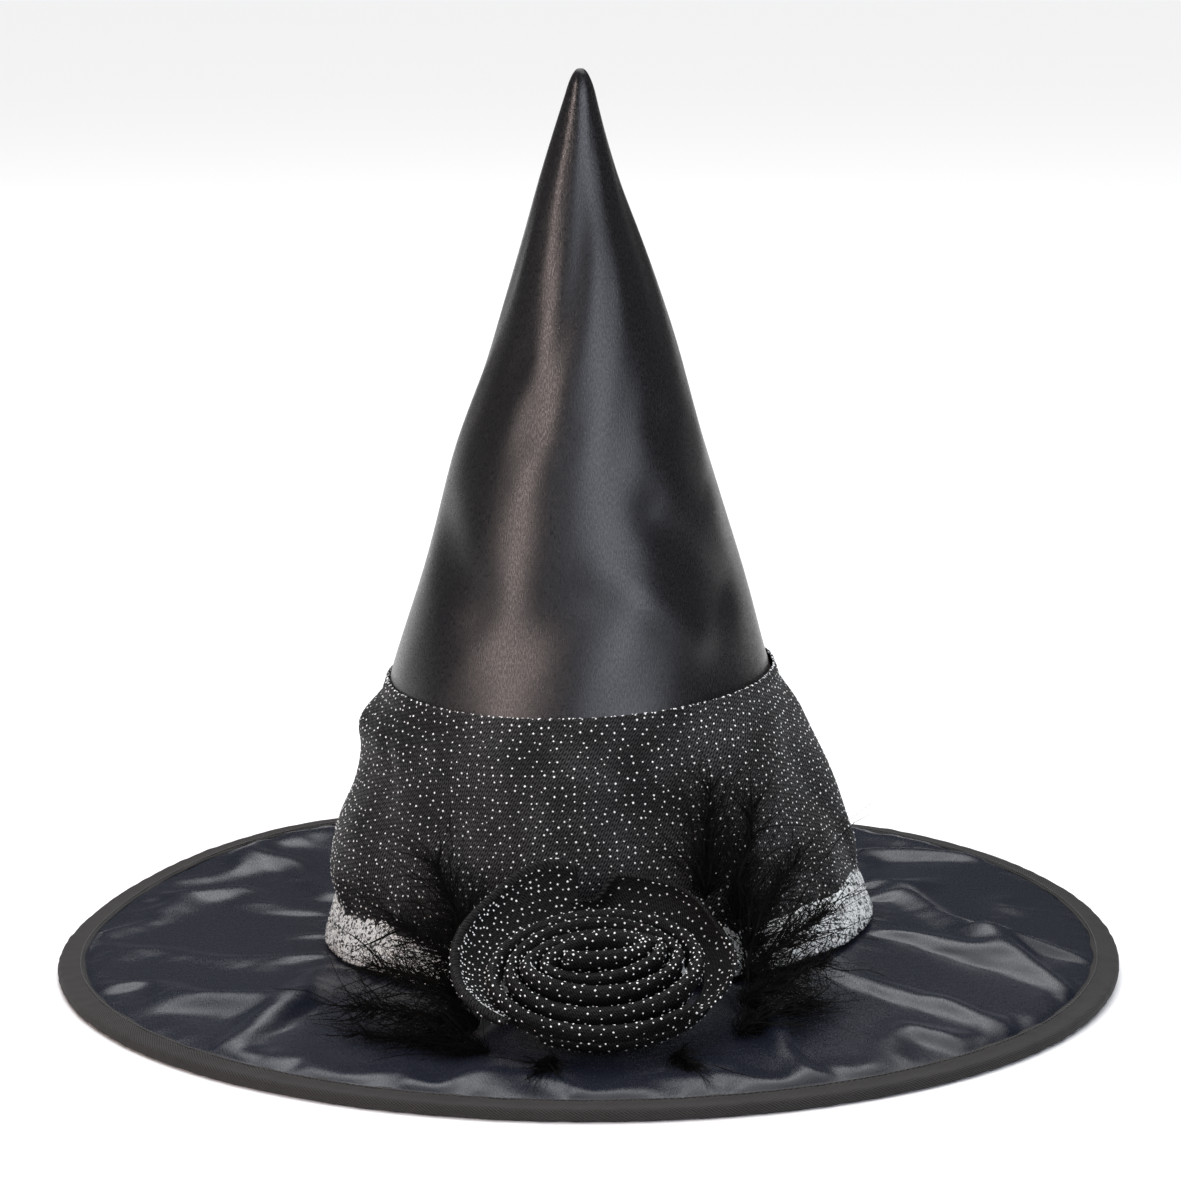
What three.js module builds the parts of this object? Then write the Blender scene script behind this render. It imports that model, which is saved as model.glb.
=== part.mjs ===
// Witch hat: a satin cone on a round satin brim, with a net wrap, a silver ribbon,
// a rolled net rosette and marabou feathers. Millimetres, +Z up, front towards -Y.
// The origin is the middle of the brim, on the surface that the hat stands on.
import * as THREE from 'three';

// ---- Driving dimensions -------------------------------------------------------------
const SEGMENTS = 40; // steps round every ring, shared so that nested rings line up
const FIT = 0.3; // clearance between touching sheets

// Head opening and crown
const HEAD_RADIUS = 92.4; // inside of the sweatband, a 58 cm head
const CROWN_HEIGHT = 303.5; // from the crown's foot to its tip
const SATIN = 0.4;
const CROWN_STIFFENER = 1.0;
const STIFFENER_TOP = 0.934; // the stiffener ends below the rounded tip
const SWEATBAND = 0.6;
const SWEATBAND_HEIGHT = 30;
const SEAM_TAPE = 0.5;
const SEAM_TAPE_WIDTH = 10;
const SEAM_TAPE_END = 46; // from the tape's end to the stiffener's top

// Outline of the crown: share of the height, share of the foot radius, lean in X
const CROWN_OUTLINE = [
  [0, 1, 3.9],
  [0.0886, 0.912, 2.4],
  [0.1657, 0.838, 0.5],
  [0.237, 0.768, -0.9],
  [0.3094, 0.697, -2.2],
  [0.427, 0.5895, -1.9],
  [0.5664, 0.463, -2.3],
  [0.6817, 0.341, -1.6],
  [0.774, 0.2516, -2.4],
  [0.866, 0.1537, -3.3],
  [0.934, 0.0874, -3.2],
  [0.978, 0.0484, -2.7],
  [0.993, 0.026, -2.3],
  [1, 0, -2.2],
];
const TIP_WALL = 0.6;

// Brim
const BRIM_RADIUS = 188;
const BRIM_STIFFENER = 1.2;
const BINDING = 0.5; // thickness of the twill tape
const BINDING_WIDTH = 9.4; // tape seen on each face of the brim
const BINDING_ROUND = 1.4; // how far the fold's corners are rounded
const WIRE = 1.4; // diameter of the brim wire
const WIRE_GAP_DEG = 1.2; // between the wire's two ends, inside the joiner
const JOINER_LENGTH = 30;
const JOINER_WALL = 0.2;

// Shape of the brim: it lies flat at the front, lifts at both sides of the back
const FOOT_RISE = 7.4; // brim at the crown's foot above brim at the edge
const FOOT_TILT = 4.8; // the crown's foot is higher at its right
const FOOT_TILT_DIRECTION = -20;
const EDGE_FLAT = 5.5; // width of the level strip at the edge
const EDGE_ROLL = 2; // drop towards the edge
const EDGE_ROLL_LENGTH = 7;
const EDGE_LIFTS = [
  { peak: 124, height: 8.5, towardsBack: 26, towardsFront: 51 },
  { peak: 50, height: 7.2, towardsBack: 34, towardsFront: 90 },
];
const BACK = 90; // direction of the middle of the back, degrees

// Net wrap and ribbon
const NET = 0.4;
const WRAP_HEIGHT = 94; // from the crown's foot to the wrap's hem
const WRAP_SLACK = 0.8; // how far the wrap stands off the satin above the ribbon
const HEM = 1.0; // thickness of the doubled hem
const HEM_WIDTH = 5;
const HEM_SLANT = [2.8, 3.5]; // rise of the hem towards +X and towards +Y
const RIBBON = 0.6;
const RIBBON_HEIGHT = 17;
const RIBBON_FLARE = 0.7;

// Rosette, in its own frame: u to the right, v up its face, w out of its face
const ROSETTE_TILT = 27;
const ROSETTE_SIDEWAYS = -0.4; // from the crown's axis
const ROSETTE_STANDOFF = 32; // from the ribbon to the rosette's middle
const FOLD_HALF_WIDTH = 4.6; // of each rolled fold of net, across
const FOLD_HALF_HEIGHT = 5.6;
const FOLD_STEP = 3; // each fold stands higher than the one outside it
const FOLD_GAPS = [1.3, 0.8]; // between folds, across and up the face
const BUD_GAPS = [2.6, 0.6]; // between the bud and the inner fold
const FOLD_START_DEG = 112;
const FOLD_TURN_DEG = 318;
const BUD_RADIUS = 4.8;
const BUD_HEIGHT = 15;
const BACKING = 1.5;
const BACKING_SIZE = [29, 26];
const GLUE_HALF_WIDTH = 8;
const PETAL = 1.5;
const PETAL_HEIGHT = 19;
const PETAL_FLARE = 5;
const PETALS = { left: [102, 214], right: [-34, 80] };

// Feathers. Each route starts under the rosette: places from the rosette's middle in X
// and Y, and the rise above the brim. A lying feather has its flat side up, a standing
// one has it towards the crown.
const FEATHER_HALF_WIDTH = 5;
const FEATHER = 2;
const LOW = FIT + FEATHER / 2; // rise of a feather that lies on the brim
const LYING_FEATHERS = [
  { name: 'feather_left_1', from: [-35, -17, 2], by: [-58, -8, 3], to: [-79, 2, 2.5] },
  { name: 'feather_left_2', from: [-39, -6, 7], by: [-64, 6, 9], to: [-82, 20, 6] },
  { name: 'feather_right_1', from: [45, -4, 3], by: [58, 8, 5], to: [70, 22, 3] },
  { name: 'feather_front_1', from: [24, -20, LOW], by: [31, -32, LOW], to: [35, -42, LOW] },
  { name: 'feather_front_2', from: [-14, -24, LOW], by: [-18, -33, LOW], to: [-24, -41, LOW] },
];
const STANDING_FEATHERS = [
  { name: 'feather_left_3', from: [-42, 6, 12], by: [-61, 22, 15], to: [-76, 38, 14] },
  { name: 'feather_left_4', from: [-43, 14, 18], by: [-57, 30, 24], to: [-69, 46, 27] },
  { name: 'feather_left_5', from: [-42, 21, 25], by: [-50, 34, 36], to: [-55, 48, 45] },
  { name: 'feather_right_2', from: [47, 5, 9], by: [62, 20, 12], to: [76, 38, 11] },
  { name: 'feather_right_3', from: [48, 13, 15], by: [62, 28, 21], to: [77, 48, 25] },
  { name: 'feather_right_4', from: [48, 20, 21], by: [57, 34, 33], to: [66, 50, 40] },
  { name: 'feather_right_5', from: [45, 27, 28], by: [51, 38, 44], to: [52, 47, 60] },
  { name: 'feather_right_6', from: [35, 30, 34], by: [37, 38, 50], to: [37, 43, 68] },
];

// ---- Values that follow ---------------------------------------------------------------
const SWEATBAND_OUTER = HEAD_RADIUS + SWEATBAND;
const STIFFENER_INNER = SWEATBAND_OUTER + FIT;
const FOOT_RADIUS = STIFFENER_INNER + CROWN_STIFFENER + FIT + SATIN; // satin, outside
const STACK = BRIM_STIFFENER / 2 + FIT + SATIN; // middle of the brim to its faces
const BINDING_INNER = STACK + FIT;
const BINDING_OUTER = BINDING_INNER + BINDING;
const EDGE_MIDDLE = BINDING_OUTER; // the binding's underside stands on z = 0
const FOOT_MIDDLE = EDGE_MIDDLE + EDGE_ROLL + FOOT_RISE;
const FOOT = FOOT_MIDDLE + STACK + FIT; // height of the crown's foot
const JOINER_RADIUS = WIRE / 2 + FIT + JOINER_WALL;
const CHORD_SAG = BRIM_RADIUS * (1 - Math.cos(Math.PI / SEGMENTS)); // of the binding's facets
const WIRE_RADIUS = BRIM_RADIUS - 2 * BINDING - CHORD_SAG - FIT - JOINER_RADIUS;
const SHEET_RADIUS = WIRE_RADIUS - JOINER_RADIUS - FIT; // outer edge of the brim's sheets
const RIBBON_OUTER = FOOT_RADIUS + FIT + NET + FIT + RIBBON;

const radians = THREE.MathUtils.degToRad;
const clamp = THREE.MathUtils.clamp;
const lerp = THREE.MathUtils.lerp;

// ---- Shape of the crown -----------------------------------------------------------------
const crownLevels = CROWN_OUTLINE.map(([share]) => FOOT + share * CROWN_HEIGHT);
const TILT_END = crownLevels[3]; // the foot's tilt has faded out here

// Value in column `column` of the outline at height z, straight between its points.
function outlineAt(z, column) {
  const last = crownLevels.length - 1;
  let i = 0;
  while (i < last - 1 && z > crownLevels[i + 1]) i += 1;
  const share = clamp((z - crownLevels[i]) / (crownLevels[i + 1] - crownLevels[i]), 0, 1);
  return lerp(CROWN_OUTLINE[i][column], CROWN_OUTLINE[i + 1][column], share);
}

const satinRadius = (z) => FOOT_RADIUS * outlineAt(z, 1);
const footTilt = (angle) => FOOT_TILT * Math.cos(angle - radians(FOOT_TILT_DIRECTION));

// Heights from low to high, with the outline's own points between them.
function levelsBetween(low, high) {
  return [low, ...crownLevels.filter((z) => z > low + FIT && z < high - FIT), high];
}

// Profile of a sheet of the crown: offsets are from the satin's outside.
function crownSheet(levels, outerOffset, innerOffset) {
  const outside = levels.map((z) => [satinRadius(z) + outerOffset(z), z]);
  const inside = levels.map((z) => [satinRadius(z) + innerOffset(z), z]).reverse();
  return [...outside, ...inside, outside[0]];
}

// Moves a point of the upright crown to its place on the leaning crown.
function leanCrown(point) {
  const angle = Math.atan2(point.y, point.x);
  const fade = clamp((TILT_END - point.z) / (TILT_END - FOOT), 0, 1);
  point.x += outlineAt(point.z, 2);
  point.z += footTilt(angle) * fade;
}

// ---- Shape of the brim ------------------------------------------------------------------
function edgeLift(angle) {
  return EDGE_LIFTS.reduce((sum, lift) => {
    const fromPeak = THREE.MathUtils.euclideanModulo(
      THREE.MathUtils.radToDeg(angle) - lift.peak + 180, 360) - 180;
    const backwards = Math.sign(BACK - lift.peak) === Math.sign(fromPeak);
    const reach = backwards ? lift.towardsBack : lift.towardsFront;
    const share = clamp(Math.abs(fromPeak) / reach, 0, 1);
    return sum + lift.height * 0.5 * (1 + Math.cos(Math.PI * share));
  }, 0);
}

// 0 at the level strip along the edge, 1 at the crown's foot.
function towardsFoot(radius) {
  const edge = BRIM_RADIUS - EDGE_FLAT;
  return clamp((edge - radius) / (edge - FOOT_RADIUS), 0, 1);
}

function brimMiddle(radius, angle) {
  const share = towardsFoot(radius);
  const fromEdge = Math.max(0, BRIM_RADIUS - EDGE_FLAT - radius);
  const roll = EDGE_ROLL * (1 - Math.exp(-fromEdge / EDGE_ROLL_LENGTH));
  const rise = (FOOT_RISE + footTilt(angle)) * share;
  return EDGE_MIDDLE + edgeLift(angle) * (1 - share) ** 1.5 + roll + rise;
}

const brimShift = (radius) => CROWN_OUTLINE[0][2] * towardsFoot(radius);

// Moves a point of a flat brim to its place on the shaped brim.
function shapeBrim(point) {
  const angle = Math.atan2(point.y, point.x);
  const radius = Math.hypot(point.x, point.y);
  point.x += brimShift(radius);
  point.z += brimMiddle(radius, angle);
}

// Height of the brim's upper face at a place, with the binding's where it may be near.
function brimTop(x, y) {
  const centred = x - brimShift(Math.hypot(x, y));
  const radius = Math.hypot(centred, y);
  const overBinding = radius > BRIM_RADIUS - BINDING_WIDTH - 2 * FEATHER_HALF_WIDTH;
  const face = overBinding ? BINDING_OUTER : STACK;
  return brimMiddle(radius, Math.atan2(y, centred)) + face;
}

// ---- Makers -------------------------------------------------------------------------------
function moveEach(geometry, move) {
  const position = geometry.attributes.position;
  const point = new THREE.Vector3();
  for (let i = 0; i < position.count; i += 1) {
    point.fromBufferAttribute(position, i);
    move(point);
    position.setXYZ(i, point.x, point.y, point.z);
  }
  geometry.computeVertexNormals();
  return geometry;
}

// Facets of a turned shape. Each four-sided facet is cut from its small radius to its
// large one, so that the faces of nested sheets stay parallel when they are bent.
function facets(points) {
  const index = [];
  for (let i = 0; i < SEGMENTS; i += 1) {
    for (let j = 0; j < points.length - 1; j += 1) {
      const a = i * points.length + j;
      const b = a + points.length;
      if (points[j].x > points[j + 1].x) index.push(a, b, b + 1, a, b + 1, a + 1);
      else index.push(a, b, a + 1, b + 1, a + 1, b);
    }
  }
  return index;
}

// A ring or cap turned round +Z from [radius, height] points.
function turned(profile, move) {
  let points = profile.map(([radius, height]) => new THREE.Vector2(radius, height));
  if (THREE.ShapeUtils.isClockWise(points)) points = points.reverse();
  const geometry = new THREE.LatheGeometry(points, SEGMENTS).rotateX(Math.PI / 2);
  geometry.setIndex(facets(points));
  return moveEach(geometry, move);
}

// A section carried along a route: place(x, y, share) gives each point's position.
function swept(section, steps, place) {
  const geometry = new THREE.ExtrudeGeometry(section, { depth: 1, steps, bevelEnabled: false });
  return moveEach(geometry, (point) => point.copy(place(point.x, point.y, point.z)));
}

function ellipseSection(halfWidth, halfHeight, sides) {
  const points = [];
  for (let i = 0; i < sides; i += 1) {
    const angle = (2 * Math.PI * i) / sides;
    points.push(new THREE.Vector2(halfWidth * Math.cos(angle), halfHeight * Math.sin(angle)));
  }
  return new THREE.Shape(points);
}

function boxSection(left, right, low, high) {
  const corners = [[left, low], [right, low], [right, high], [left, high]];
  return new THREE.Shape(corners.map(([x, y]) => new THREE.Vector2(x, y)));
}

const materials = {
  satin: new THREE.MeshStandardMaterial({ color: '#15151a', roughness: 0.35, metalness: 0 }),
  brimSatin: new THREE.MeshStandardMaterial({ color: '#12131f', roughness: 0.35, metalness: 0 }),
  stiffener: new THREE.MeshStandardMaterial({ color: '#232325', roughness: 0.9, metalness: 0 }),
  cotton: new THREE.MeshStandardMaterial({ color: '#1c1b1d', roughness: 0.9, metalness: 0 }),
  twill: new THREE.MeshStandardMaterial({ color: '#3c3a39', roughness: 0.85, metalness: 0 }),
  steel: new THREE.MeshStandardMaterial({ color: '#8d8f93', roughness: 0.35, metalness: 1 }),
  net: new THREE.MeshStandardMaterial({ color: '#17171a', roughness: 0.8, metalness: 0 }),
  lurex: new THREE.MeshStandardMaterial({ color: '#b4b9ba', roughness: 0.35, metalness: 0.8 }),
  felt: new THREE.MeshStandardMaterial({ color: '#101012', roughness: 1, metalness: 0 }),
  glue: new THREE.MeshStandardMaterial({ color: '#d8d3c4', roughness: 0.4, metalness: 0 }),
  down: new THREE.MeshStandardMaterial({ color: '#0c0b0c', roughness: 0.9, metalness: 0 }),
};

const hat = new THREE.Group();

function add(name, geometry, material) {
  const mesh = new THREE.Mesh(geometry, materials[material]);
  mesh.name = name;
  hat.add(mesh);
}

// ---- Crown --------------------------------------------------------------------------------
function crownSatin() {
  const top = FOOT + CROWN_HEIGHT;
  const lastRing = crownLevels.length - 2;
  const outside = crownLevels.map((z) => [satinRadius(z), z]).reverse();
  const inside = crownLevels.slice(0, lastRing).map((z) => [satinRadius(z) - SATIN, z]);
  return turned([...outside, ...inside, [0, top - TIP_WALL]], leanCrown);
}

function crownStiffener() {
  const outer = -SATIN - FIT;
  const levels = levelsBetween(FOOT, FOOT + STIFFENER_TOP * CROWN_HEIGHT);
  const profile = crownSheet(levels, () => outer, () => outer - CROWN_STIFFENER);
  return turned(profile, leanCrown);
}

// A plain tape over the inside of the crown's back seam.
function crownSeamTape() {
  const low = FOOT + SWEATBAND_HEIGHT + 2;
  const levels = levelsBetween(low, FOOT + STIFFENER_TOP * CROWN_HEIGHT - SEAM_TAPE_END);
  const offset = -SATIN - FIT - CROWN_STIFFENER - FIT - SEAM_TAPE;
  const section = boxSection(-SEAM_TAPE_WIDTH / 2, SEAM_TAPE_WIDTH / 2, 0, SEAM_TAPE);
  return swept(section, levels.length - 1, (x, y, share) => {
    const z = levels[Math.round(share * (levels.length - 1))];
    const wall = satinRadius(z) + offset;
    const point = new THREE.Vector3(x, wall + y - (x * x) / wall, z);
    leanCrown(point);
    return point;
  });
}

function sweatband() {
  const wall = SATIN + FIT + CROWN_STIFFENER + FIT;
  const low = FOOT_MIDDLE - STACK;
  const above = levelsBetween(FOOT, FOOT + SWEATBAND_HEIGHT);
  const outside = [[SWEATBAND_OUTER, low], ...above.map((z) => [satinRadius(z) - wall, z])];
  const inside = outside.map(([radius, z]) => [radius - SWEATBAND, z]).reverse();
  return turned([...outside, ...inside, outside[0]], leanCrown);
}

// ---- Brim ---------------------------------------------------------------------------------
function brimSheet(low, high) {
  const edge = BRIM_RADIUS - EDGE_FLAT;
  const bindingEdge = BRIM_RADIUS - BINDING_WIDTH;
  const middle = (FOOT_RADIUS + bindingEdge) / 2;
  const radii = [STIFFENER_INNER, FOOT_RADIUS, middle, bindingEdge - EDGE_ROLL_LENGTH, bindingEdge,
    edge, SHEET_RADIUS];
  const upper = radii.map((radius) => [radius, high]);
  const lower = radii.map((radius) => [radius, low]).reverse();
  return turned([...lower, ...upper, lower[0]], shapeBrim);
}

function brimBinding() {
  const inner = BRIM_RADIUS - BINDING_WIDTH;
  const edge = BRIM_RADIUS - EDGE_FLAT;
  const fold = BRIM_RADIUS - 2 * BINDING;
  const half = [
    [inner, BINDING_INNER],
    [edge, BINDING_INNER],
    [fold - BINDING_ROUND / 2, BINDING_INNER],
    [fold, BINDING_INNER - BINDING_ROUND / 2],
  ];
  const outer = [
    [BRIM_RADIUS, BINDING_OUTER - BINDING_ROUND],
    [BRIM_RADIUS - BINDING_ROUND, BINDING_OUTER],
    [edge, BINDING_OUTER],
    [inner, BINDING_OUTER],
  ];
  const upper = [...half, ...outer];
  const mirrored = ([radius, height]) => [radius, -height];
  const lower = upper.map(mirrored);
  return turned([...outer, ...half, ...lower.slice(0, half.length).reverse(),
    ...lower.slice(half.length).reverse(), outer[0]], shapeBrim);
}

function brimWire() {
  const sweep = 360 - WIRE_GAP_DEG;
  return swept(ellipseSection(WIRE / 2, WIRE / 2, 6), SEGMENTS * 1.5, (x, y, share) => {
    const angle = radians(BACK + WIRE_GAP_DEG / 2 + sweep * share);
    const reach = WIRE_RADIUS - x;
    const point = new THREE.Vector3(reach * Math.cos(angle), reach * Math.sin(angle), y);
    shapeBrim(point);
    return point;
  });
}

function wireJoiner() {
  const sweep = JOINER_LENGTH / WIRE_RADIUS;
  const tube = ellipseSection(JOINER_RADIUS, JOINER_RADIUS, 12);
  tube.holes.push(ellipseSection(WIRE / 2 + FIT, WIRE / 2 + FIT, 12));
  return swept(tube, 4, (x, y, share) => {
    const angle = radians(BACK) + sweep * (share - 0.5);
    const reach = WIRE_RADIUS - x;
    const point = new THREE.Vector3(reach * Math.cos(angle), reach * Math.sin(angle), y);
    shapeBrim(point);
    return point;
  });
}

// ---- Wrap and ribbon --------------------------------------------------------------------
function netWrap() {
  const hem = FOOT + WRAP_HEIGHT;
  const hemFoot = hem - HEM_WIDTH;
  const ribbonTop = FOOT + RIBBON_HEIGHT;
  const levels = [FOOT, ...levelsBetween(ribbonTop, hemFoot), hem];
  const slack = (z) => (z > ribbonTop ? WRAP_SLACK : 0);
  const inner = (z) => FIT + slack(z);
  const outer = (z) => inner(z) + (z >= hemFoot ? HEM : NET);
  return turned(crownSheet(levels, outer, inner), (point) => {
    const angle = Math.atan2(point.y, point.x);
    const share = clamp((point.z - ribbonTop) / (hem - ribbonTop), 0, 1);
    const slant = HEM_SLANT[0] * Math.cos(angle) + HEM_SLANT[1] * Math.sin(angle);
    const raised = point.z + slant * share ** 3;
    const before = Math.hypot(point.x, point.y);
    const after = before + satinRadius(raised) - satinRadius(point.z);
    point.multiply(new THREE.Vector3(after / before, after / before, 1));
    point.z = raised;
    leanCrown(point);
  });
}

function silverRibbon() {
  const inner = FIT + NET + FIT;
  const top = FOOT + RIBBON_HEIGHT;
  const flare = (z) => RIBBON_FLARE * clamp((top - z) / RIBBON_HEIGHT, 0, 1);
  const levels = [FOOT, FOOT + RIBBON_HEIGHT / 2, top];
  return turned(crownSheet(levels, (z) => inner + RIBBON + flare(z), (z) => inner + flare(z)),
    leanCrown);
}

// ---- Rosette ------------------------------------------------------------------------------
// Half sizes of the middle line of a fold's ring; rank 0 is the inner fold.
function foldRing(rank) {
  return [0, 1].map((side) => BUD_RADIUS + BUD_GAPS[side] + FOLD_HALF_WIDTH
    + rank * (2 * FOLD_HALF_WIDTH + FOLD_GAPS[side]));
}
const OUTER_RANK = 2;
const outerRing = foldRing(OUTER_RANK);

const rosetteMiddle = new THREE.Vector3();
rosetteMiddle.x = CROWN_OUTLINE[0][2] + ROSETTE_SIDEWAYS;
rosetteMiddle.y = -(RIBBON_OUTER + ROSETTE_STANDOFF);
const rosetteLow = outerRing[1] * Math.cos(radians(ROSETTE_TILT));
rosetteMiddle.z = brimTop(rosetteMiddle.x, rosetteMiddle.y - rosetteLow)
  + FIT + FEATHER + FIT + FOLD_HALF_HEIGHT
  + outerRing[1] * Math.sin(radians(ROSETTE_TILT));

const acrossFace = new THREE.Vector3(1, 0, 0);
const upFace = new THREE.Vector3(0, Math.cos(radians(ROSETTE_TILT)), Math.sin(radians(ROSETTE_TILT)));
const outOfFace = new THREE.Vector3().crossVectors(acrossFace, upFace);

function onRosette(u, v, w) {
  return rosetteMiddle.clone().addScaledVector(acrossFace, u)
    .addScaledVector(upFace, v).addScaledVector(outOfFace, w);
}

// A point at angle `angle` on a ring of half sizes [a, b], moved outwards by `out`.
function ringPoint([a, b], angle, out) {
  const normal = new THREE.Vector2(Math.cos(angle) / a, Math.sin(angle) / b).normalize();
  return [a * Math.cos(angle) + normal.x * out, b * Math.sin(angle) + normal.y * out];
}

function rosetteFold(rank) {
  const section = ellipseSection(FOLD_HALF_WIDTH, FOLD_HALF_HEIGHT, 8);
  return swept(section, 26, (x, y, share) => {
    const angle = radians(FOLD_START_DEG + FOLD_TURN_DEG * share);
    const [u, v] = ringPoint(foldRing(rank), angle, -x);
    return onRosette(u, v, FOLD_STEP * (OUTER_RANK - rank) + y);
  });
}

function rosetteBud() {
  const low = -FOLD_HALF_HEIGHT + FOLD_STEP;
  const profile = [[0, low], [BUD_RADIUS, low], [BUD_RADIUS, low + BUD_HEIGHT * 0.7],
    [BUD_RADIUS * 0.7, low + BUD_HEIGHT * 0.92], [0, low + BUD_HEIGHT]];
  return turned(profile, (point) => point.copy(onRosette(point.x, point.y, point.z)));
}

function rosettePetal([from, to]) {
  const base = FOLD_HALF_WIDTH + FIT;
  const section = boxSection(0, PETAL, 0, 1);
  return swept(section, 14, (x, y, share) => {
    const angle = radians(lerp(to, from, share));
    const height = PETAL_HEIGHT * (0.35 + 0.65 * Math.sin(Math.PI * share));
    const [u, v] = ringPoint(outerRing, angle, base + x + PETAL_FLARE * y);
    return onRosette(u, v, height * y - FOLD_HALF_HEIGHT);
  });
}

function rosetteBacking() {
  const [a, b] = BACKING_SIZE;
  const top = -FOLD_HALF_HEIGHT - FIT;
  const disc = new THREE.CylinderGeometry(1, 1, BACKING, 32).rotateX(Math.PI / 2);
  return moveEach(disc, (point) => {
    point.copy(onRosette(point.x * a, point.y * b, top - BACKING / 2 + point.z));
  });
}

// The glue that holds the backing in the corner between the ribbon and the brim.
function rosetteGlue() {
  const behind = -FOLD_HALF_HEIGHT - BACKING - 2 * FIT;
  const high = onRosette(0, 20, behind);
  const low = onRosette(0, -6, behind);
  const wall = -RIBBON_OUTER - RIBBON_FLARE - FIT - 0.6;
  const x = rosetteMiddle.x;
  const corners = [
    [high.y, high.z],
    [low.y, low.z],
    [low.y, brimTop(x, low.y) + FIT + 0.4],
    [wall, brimTop(x, wall) + FIT + 0.4],
    [wall, high.z - 5],
  ];
  const section = new THREE.Shape(corners.map(([y, z]) => new THREE.Vector2(y, z)));
  return swept(section, 1, (y, z, share) => (
    new THREE.Vector3(x + GLUE_HALF_WIDTH * (2 * share - 1), y, z)));
}

// ---- Feathers -----------------------------------------------------------------------------
// A flat leaf along a curve, narrow at the quill and at the tip.
function feather(curve, flatSide) {
  return swept(ellipseSection(1, 1, 6), 7, (x, y, share) => {
    const along = curve.getTangentAt(share);
    const across = new THREE.Vector3().crossVectors(along, flatSide(share)).normalize();
    const thick = new THREE.Vector3().crossVectors(across, along).normalize();
    const leaf = 0.12 + 0.88 * Math.sin(Math.PI * Math.min(1, 0.12 + share * 0.8));
    return curve.getPointAt(share)
      .addScaledVector(across, x * FEATHER_HALF_WIDTH * leaf)
      .addScaledVector(thick, -y * (FEATHER / 2) * (0.4 + 0.6 * leaf));
  });
}

function featherCurve(route) {
  const points = route.map(([x, y, rise]) => {
    const place = new THREE.Vector3(rosetteMiddle.x + x, rosetteMiddle.y + y, 0);
    place.z = brimTop(place.x, place.y) + rise;
    return place;
  });
  return new THREE.QuadraticBezierCurve3(...points);
}

function lyingFeather({ from, by, to }) {
  return feather(featherCurve([from, by, to]), () => new THREE.Vector3(0, 0, 1));
}

function standingFeather({ from, by, to }) {
  const curve = featherCurve([from, by, to]);
  return feather(curve, (share) => curve.getPointAt(share).setZ(0));
}

// ---- The hat ------------------------------------------------------------------------------
add('crown_satin', crownSatin(), 'satin');
add('crown_stiffener', crownStiffener(), 'stiffener');
add('crown_seam_tape', crownSeamTape(), 'cotton');
add('sweatband', sweatband(), 'cotton');

add('brim_top_satin', brimSheet(BRIM_STIFFENER / 2 + FIT, STACK), 'brimSatin');
add('brim_stiffener', brimSheet(-BRIM_STIFFENER / 2, BRIM_STIFFENER / 2), 'stiffener');
add('brim_under_satin', brimSheet(-STACK, -BRIM_STIFFENER / 2 - FIT), 'brimSatin');
add('brim_wire', brimWire(), 'steel');
add('wire_joiner', wireJoiner(), 'steel');
add('brim_binding', brimBinding(), 'twill');

add('glitter_wrap', netWrap(), 'net');
add('silver_ribbon', silverRibbon(), 'lurex');

add('rosette_backing', rosetteBacking(), 'felt');
add('rosette_glue', rosetteGlue(), 'glue');
add('rosette_bud', rosetteBud(), 'net');
add('rosette_fold_inner', rosetteFold(0), 'net');
add('rosette_fold_middle', rosetteFold(1), 'net');
add('rosette_fold_outer', rosetteFold(OUTER_RANK), 'net');
add('rosette_petal_left', rosettePetal(PETALS.left), 'net');
add('rosette_petal_right', rosettePetal(PETALS.right), 'net');

LYING_FEATHERS.forEach((route) => add(route.name, lyingFeather(route), 'down'));
STANDING_FEATHERS.forEach((route) => add(route.name, standingFeather(route), 'down'));

export default hat;
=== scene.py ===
"""A satin witch hat: its cloths, trimmings and finishes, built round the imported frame."""

import math

import bmesh
import bpy
import numpy as np
from bpy.props import FloatProperty, FloatVectorProperty, IntProperty, PointerProperty
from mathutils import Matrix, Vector
from mathutils.bvhtree import BVHTree


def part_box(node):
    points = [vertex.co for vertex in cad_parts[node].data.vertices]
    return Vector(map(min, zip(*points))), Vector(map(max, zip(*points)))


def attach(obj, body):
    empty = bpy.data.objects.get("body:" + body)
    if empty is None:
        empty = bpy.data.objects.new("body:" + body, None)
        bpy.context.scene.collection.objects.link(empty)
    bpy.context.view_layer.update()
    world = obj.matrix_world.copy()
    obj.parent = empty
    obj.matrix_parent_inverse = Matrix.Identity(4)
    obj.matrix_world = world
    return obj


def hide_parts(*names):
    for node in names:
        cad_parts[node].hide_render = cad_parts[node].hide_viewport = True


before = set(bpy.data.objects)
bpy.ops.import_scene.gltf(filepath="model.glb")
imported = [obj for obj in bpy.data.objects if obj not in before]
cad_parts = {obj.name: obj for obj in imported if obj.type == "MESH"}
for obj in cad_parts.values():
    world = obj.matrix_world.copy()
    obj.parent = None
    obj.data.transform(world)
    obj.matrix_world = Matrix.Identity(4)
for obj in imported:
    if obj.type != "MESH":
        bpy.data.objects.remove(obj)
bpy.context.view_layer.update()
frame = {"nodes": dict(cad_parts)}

bl_info = {
    "name": "Witch Hat Maker",
    "version": (1, 0, 0),
    "blender": (4, 5, 0),
    "location": "3D View > Sidebar > Hat",
    "description": "Makes the cloth, ribbon, rosette and feathers of a satin witch hat",
    "category": "Object",
}

MM = 0.001
TAU = 2 * math.pi
BACK = math.pi / 2  # direction of the seams; the front is towards -Y


# ---- Sizes and colours that a user would change ---------------------------------------------

def length(name, description, millimetres):
    return FloatProperty(name=name, description=description, default=millimetres * MM,
                         unit="LENGTH", precision=4)


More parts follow.
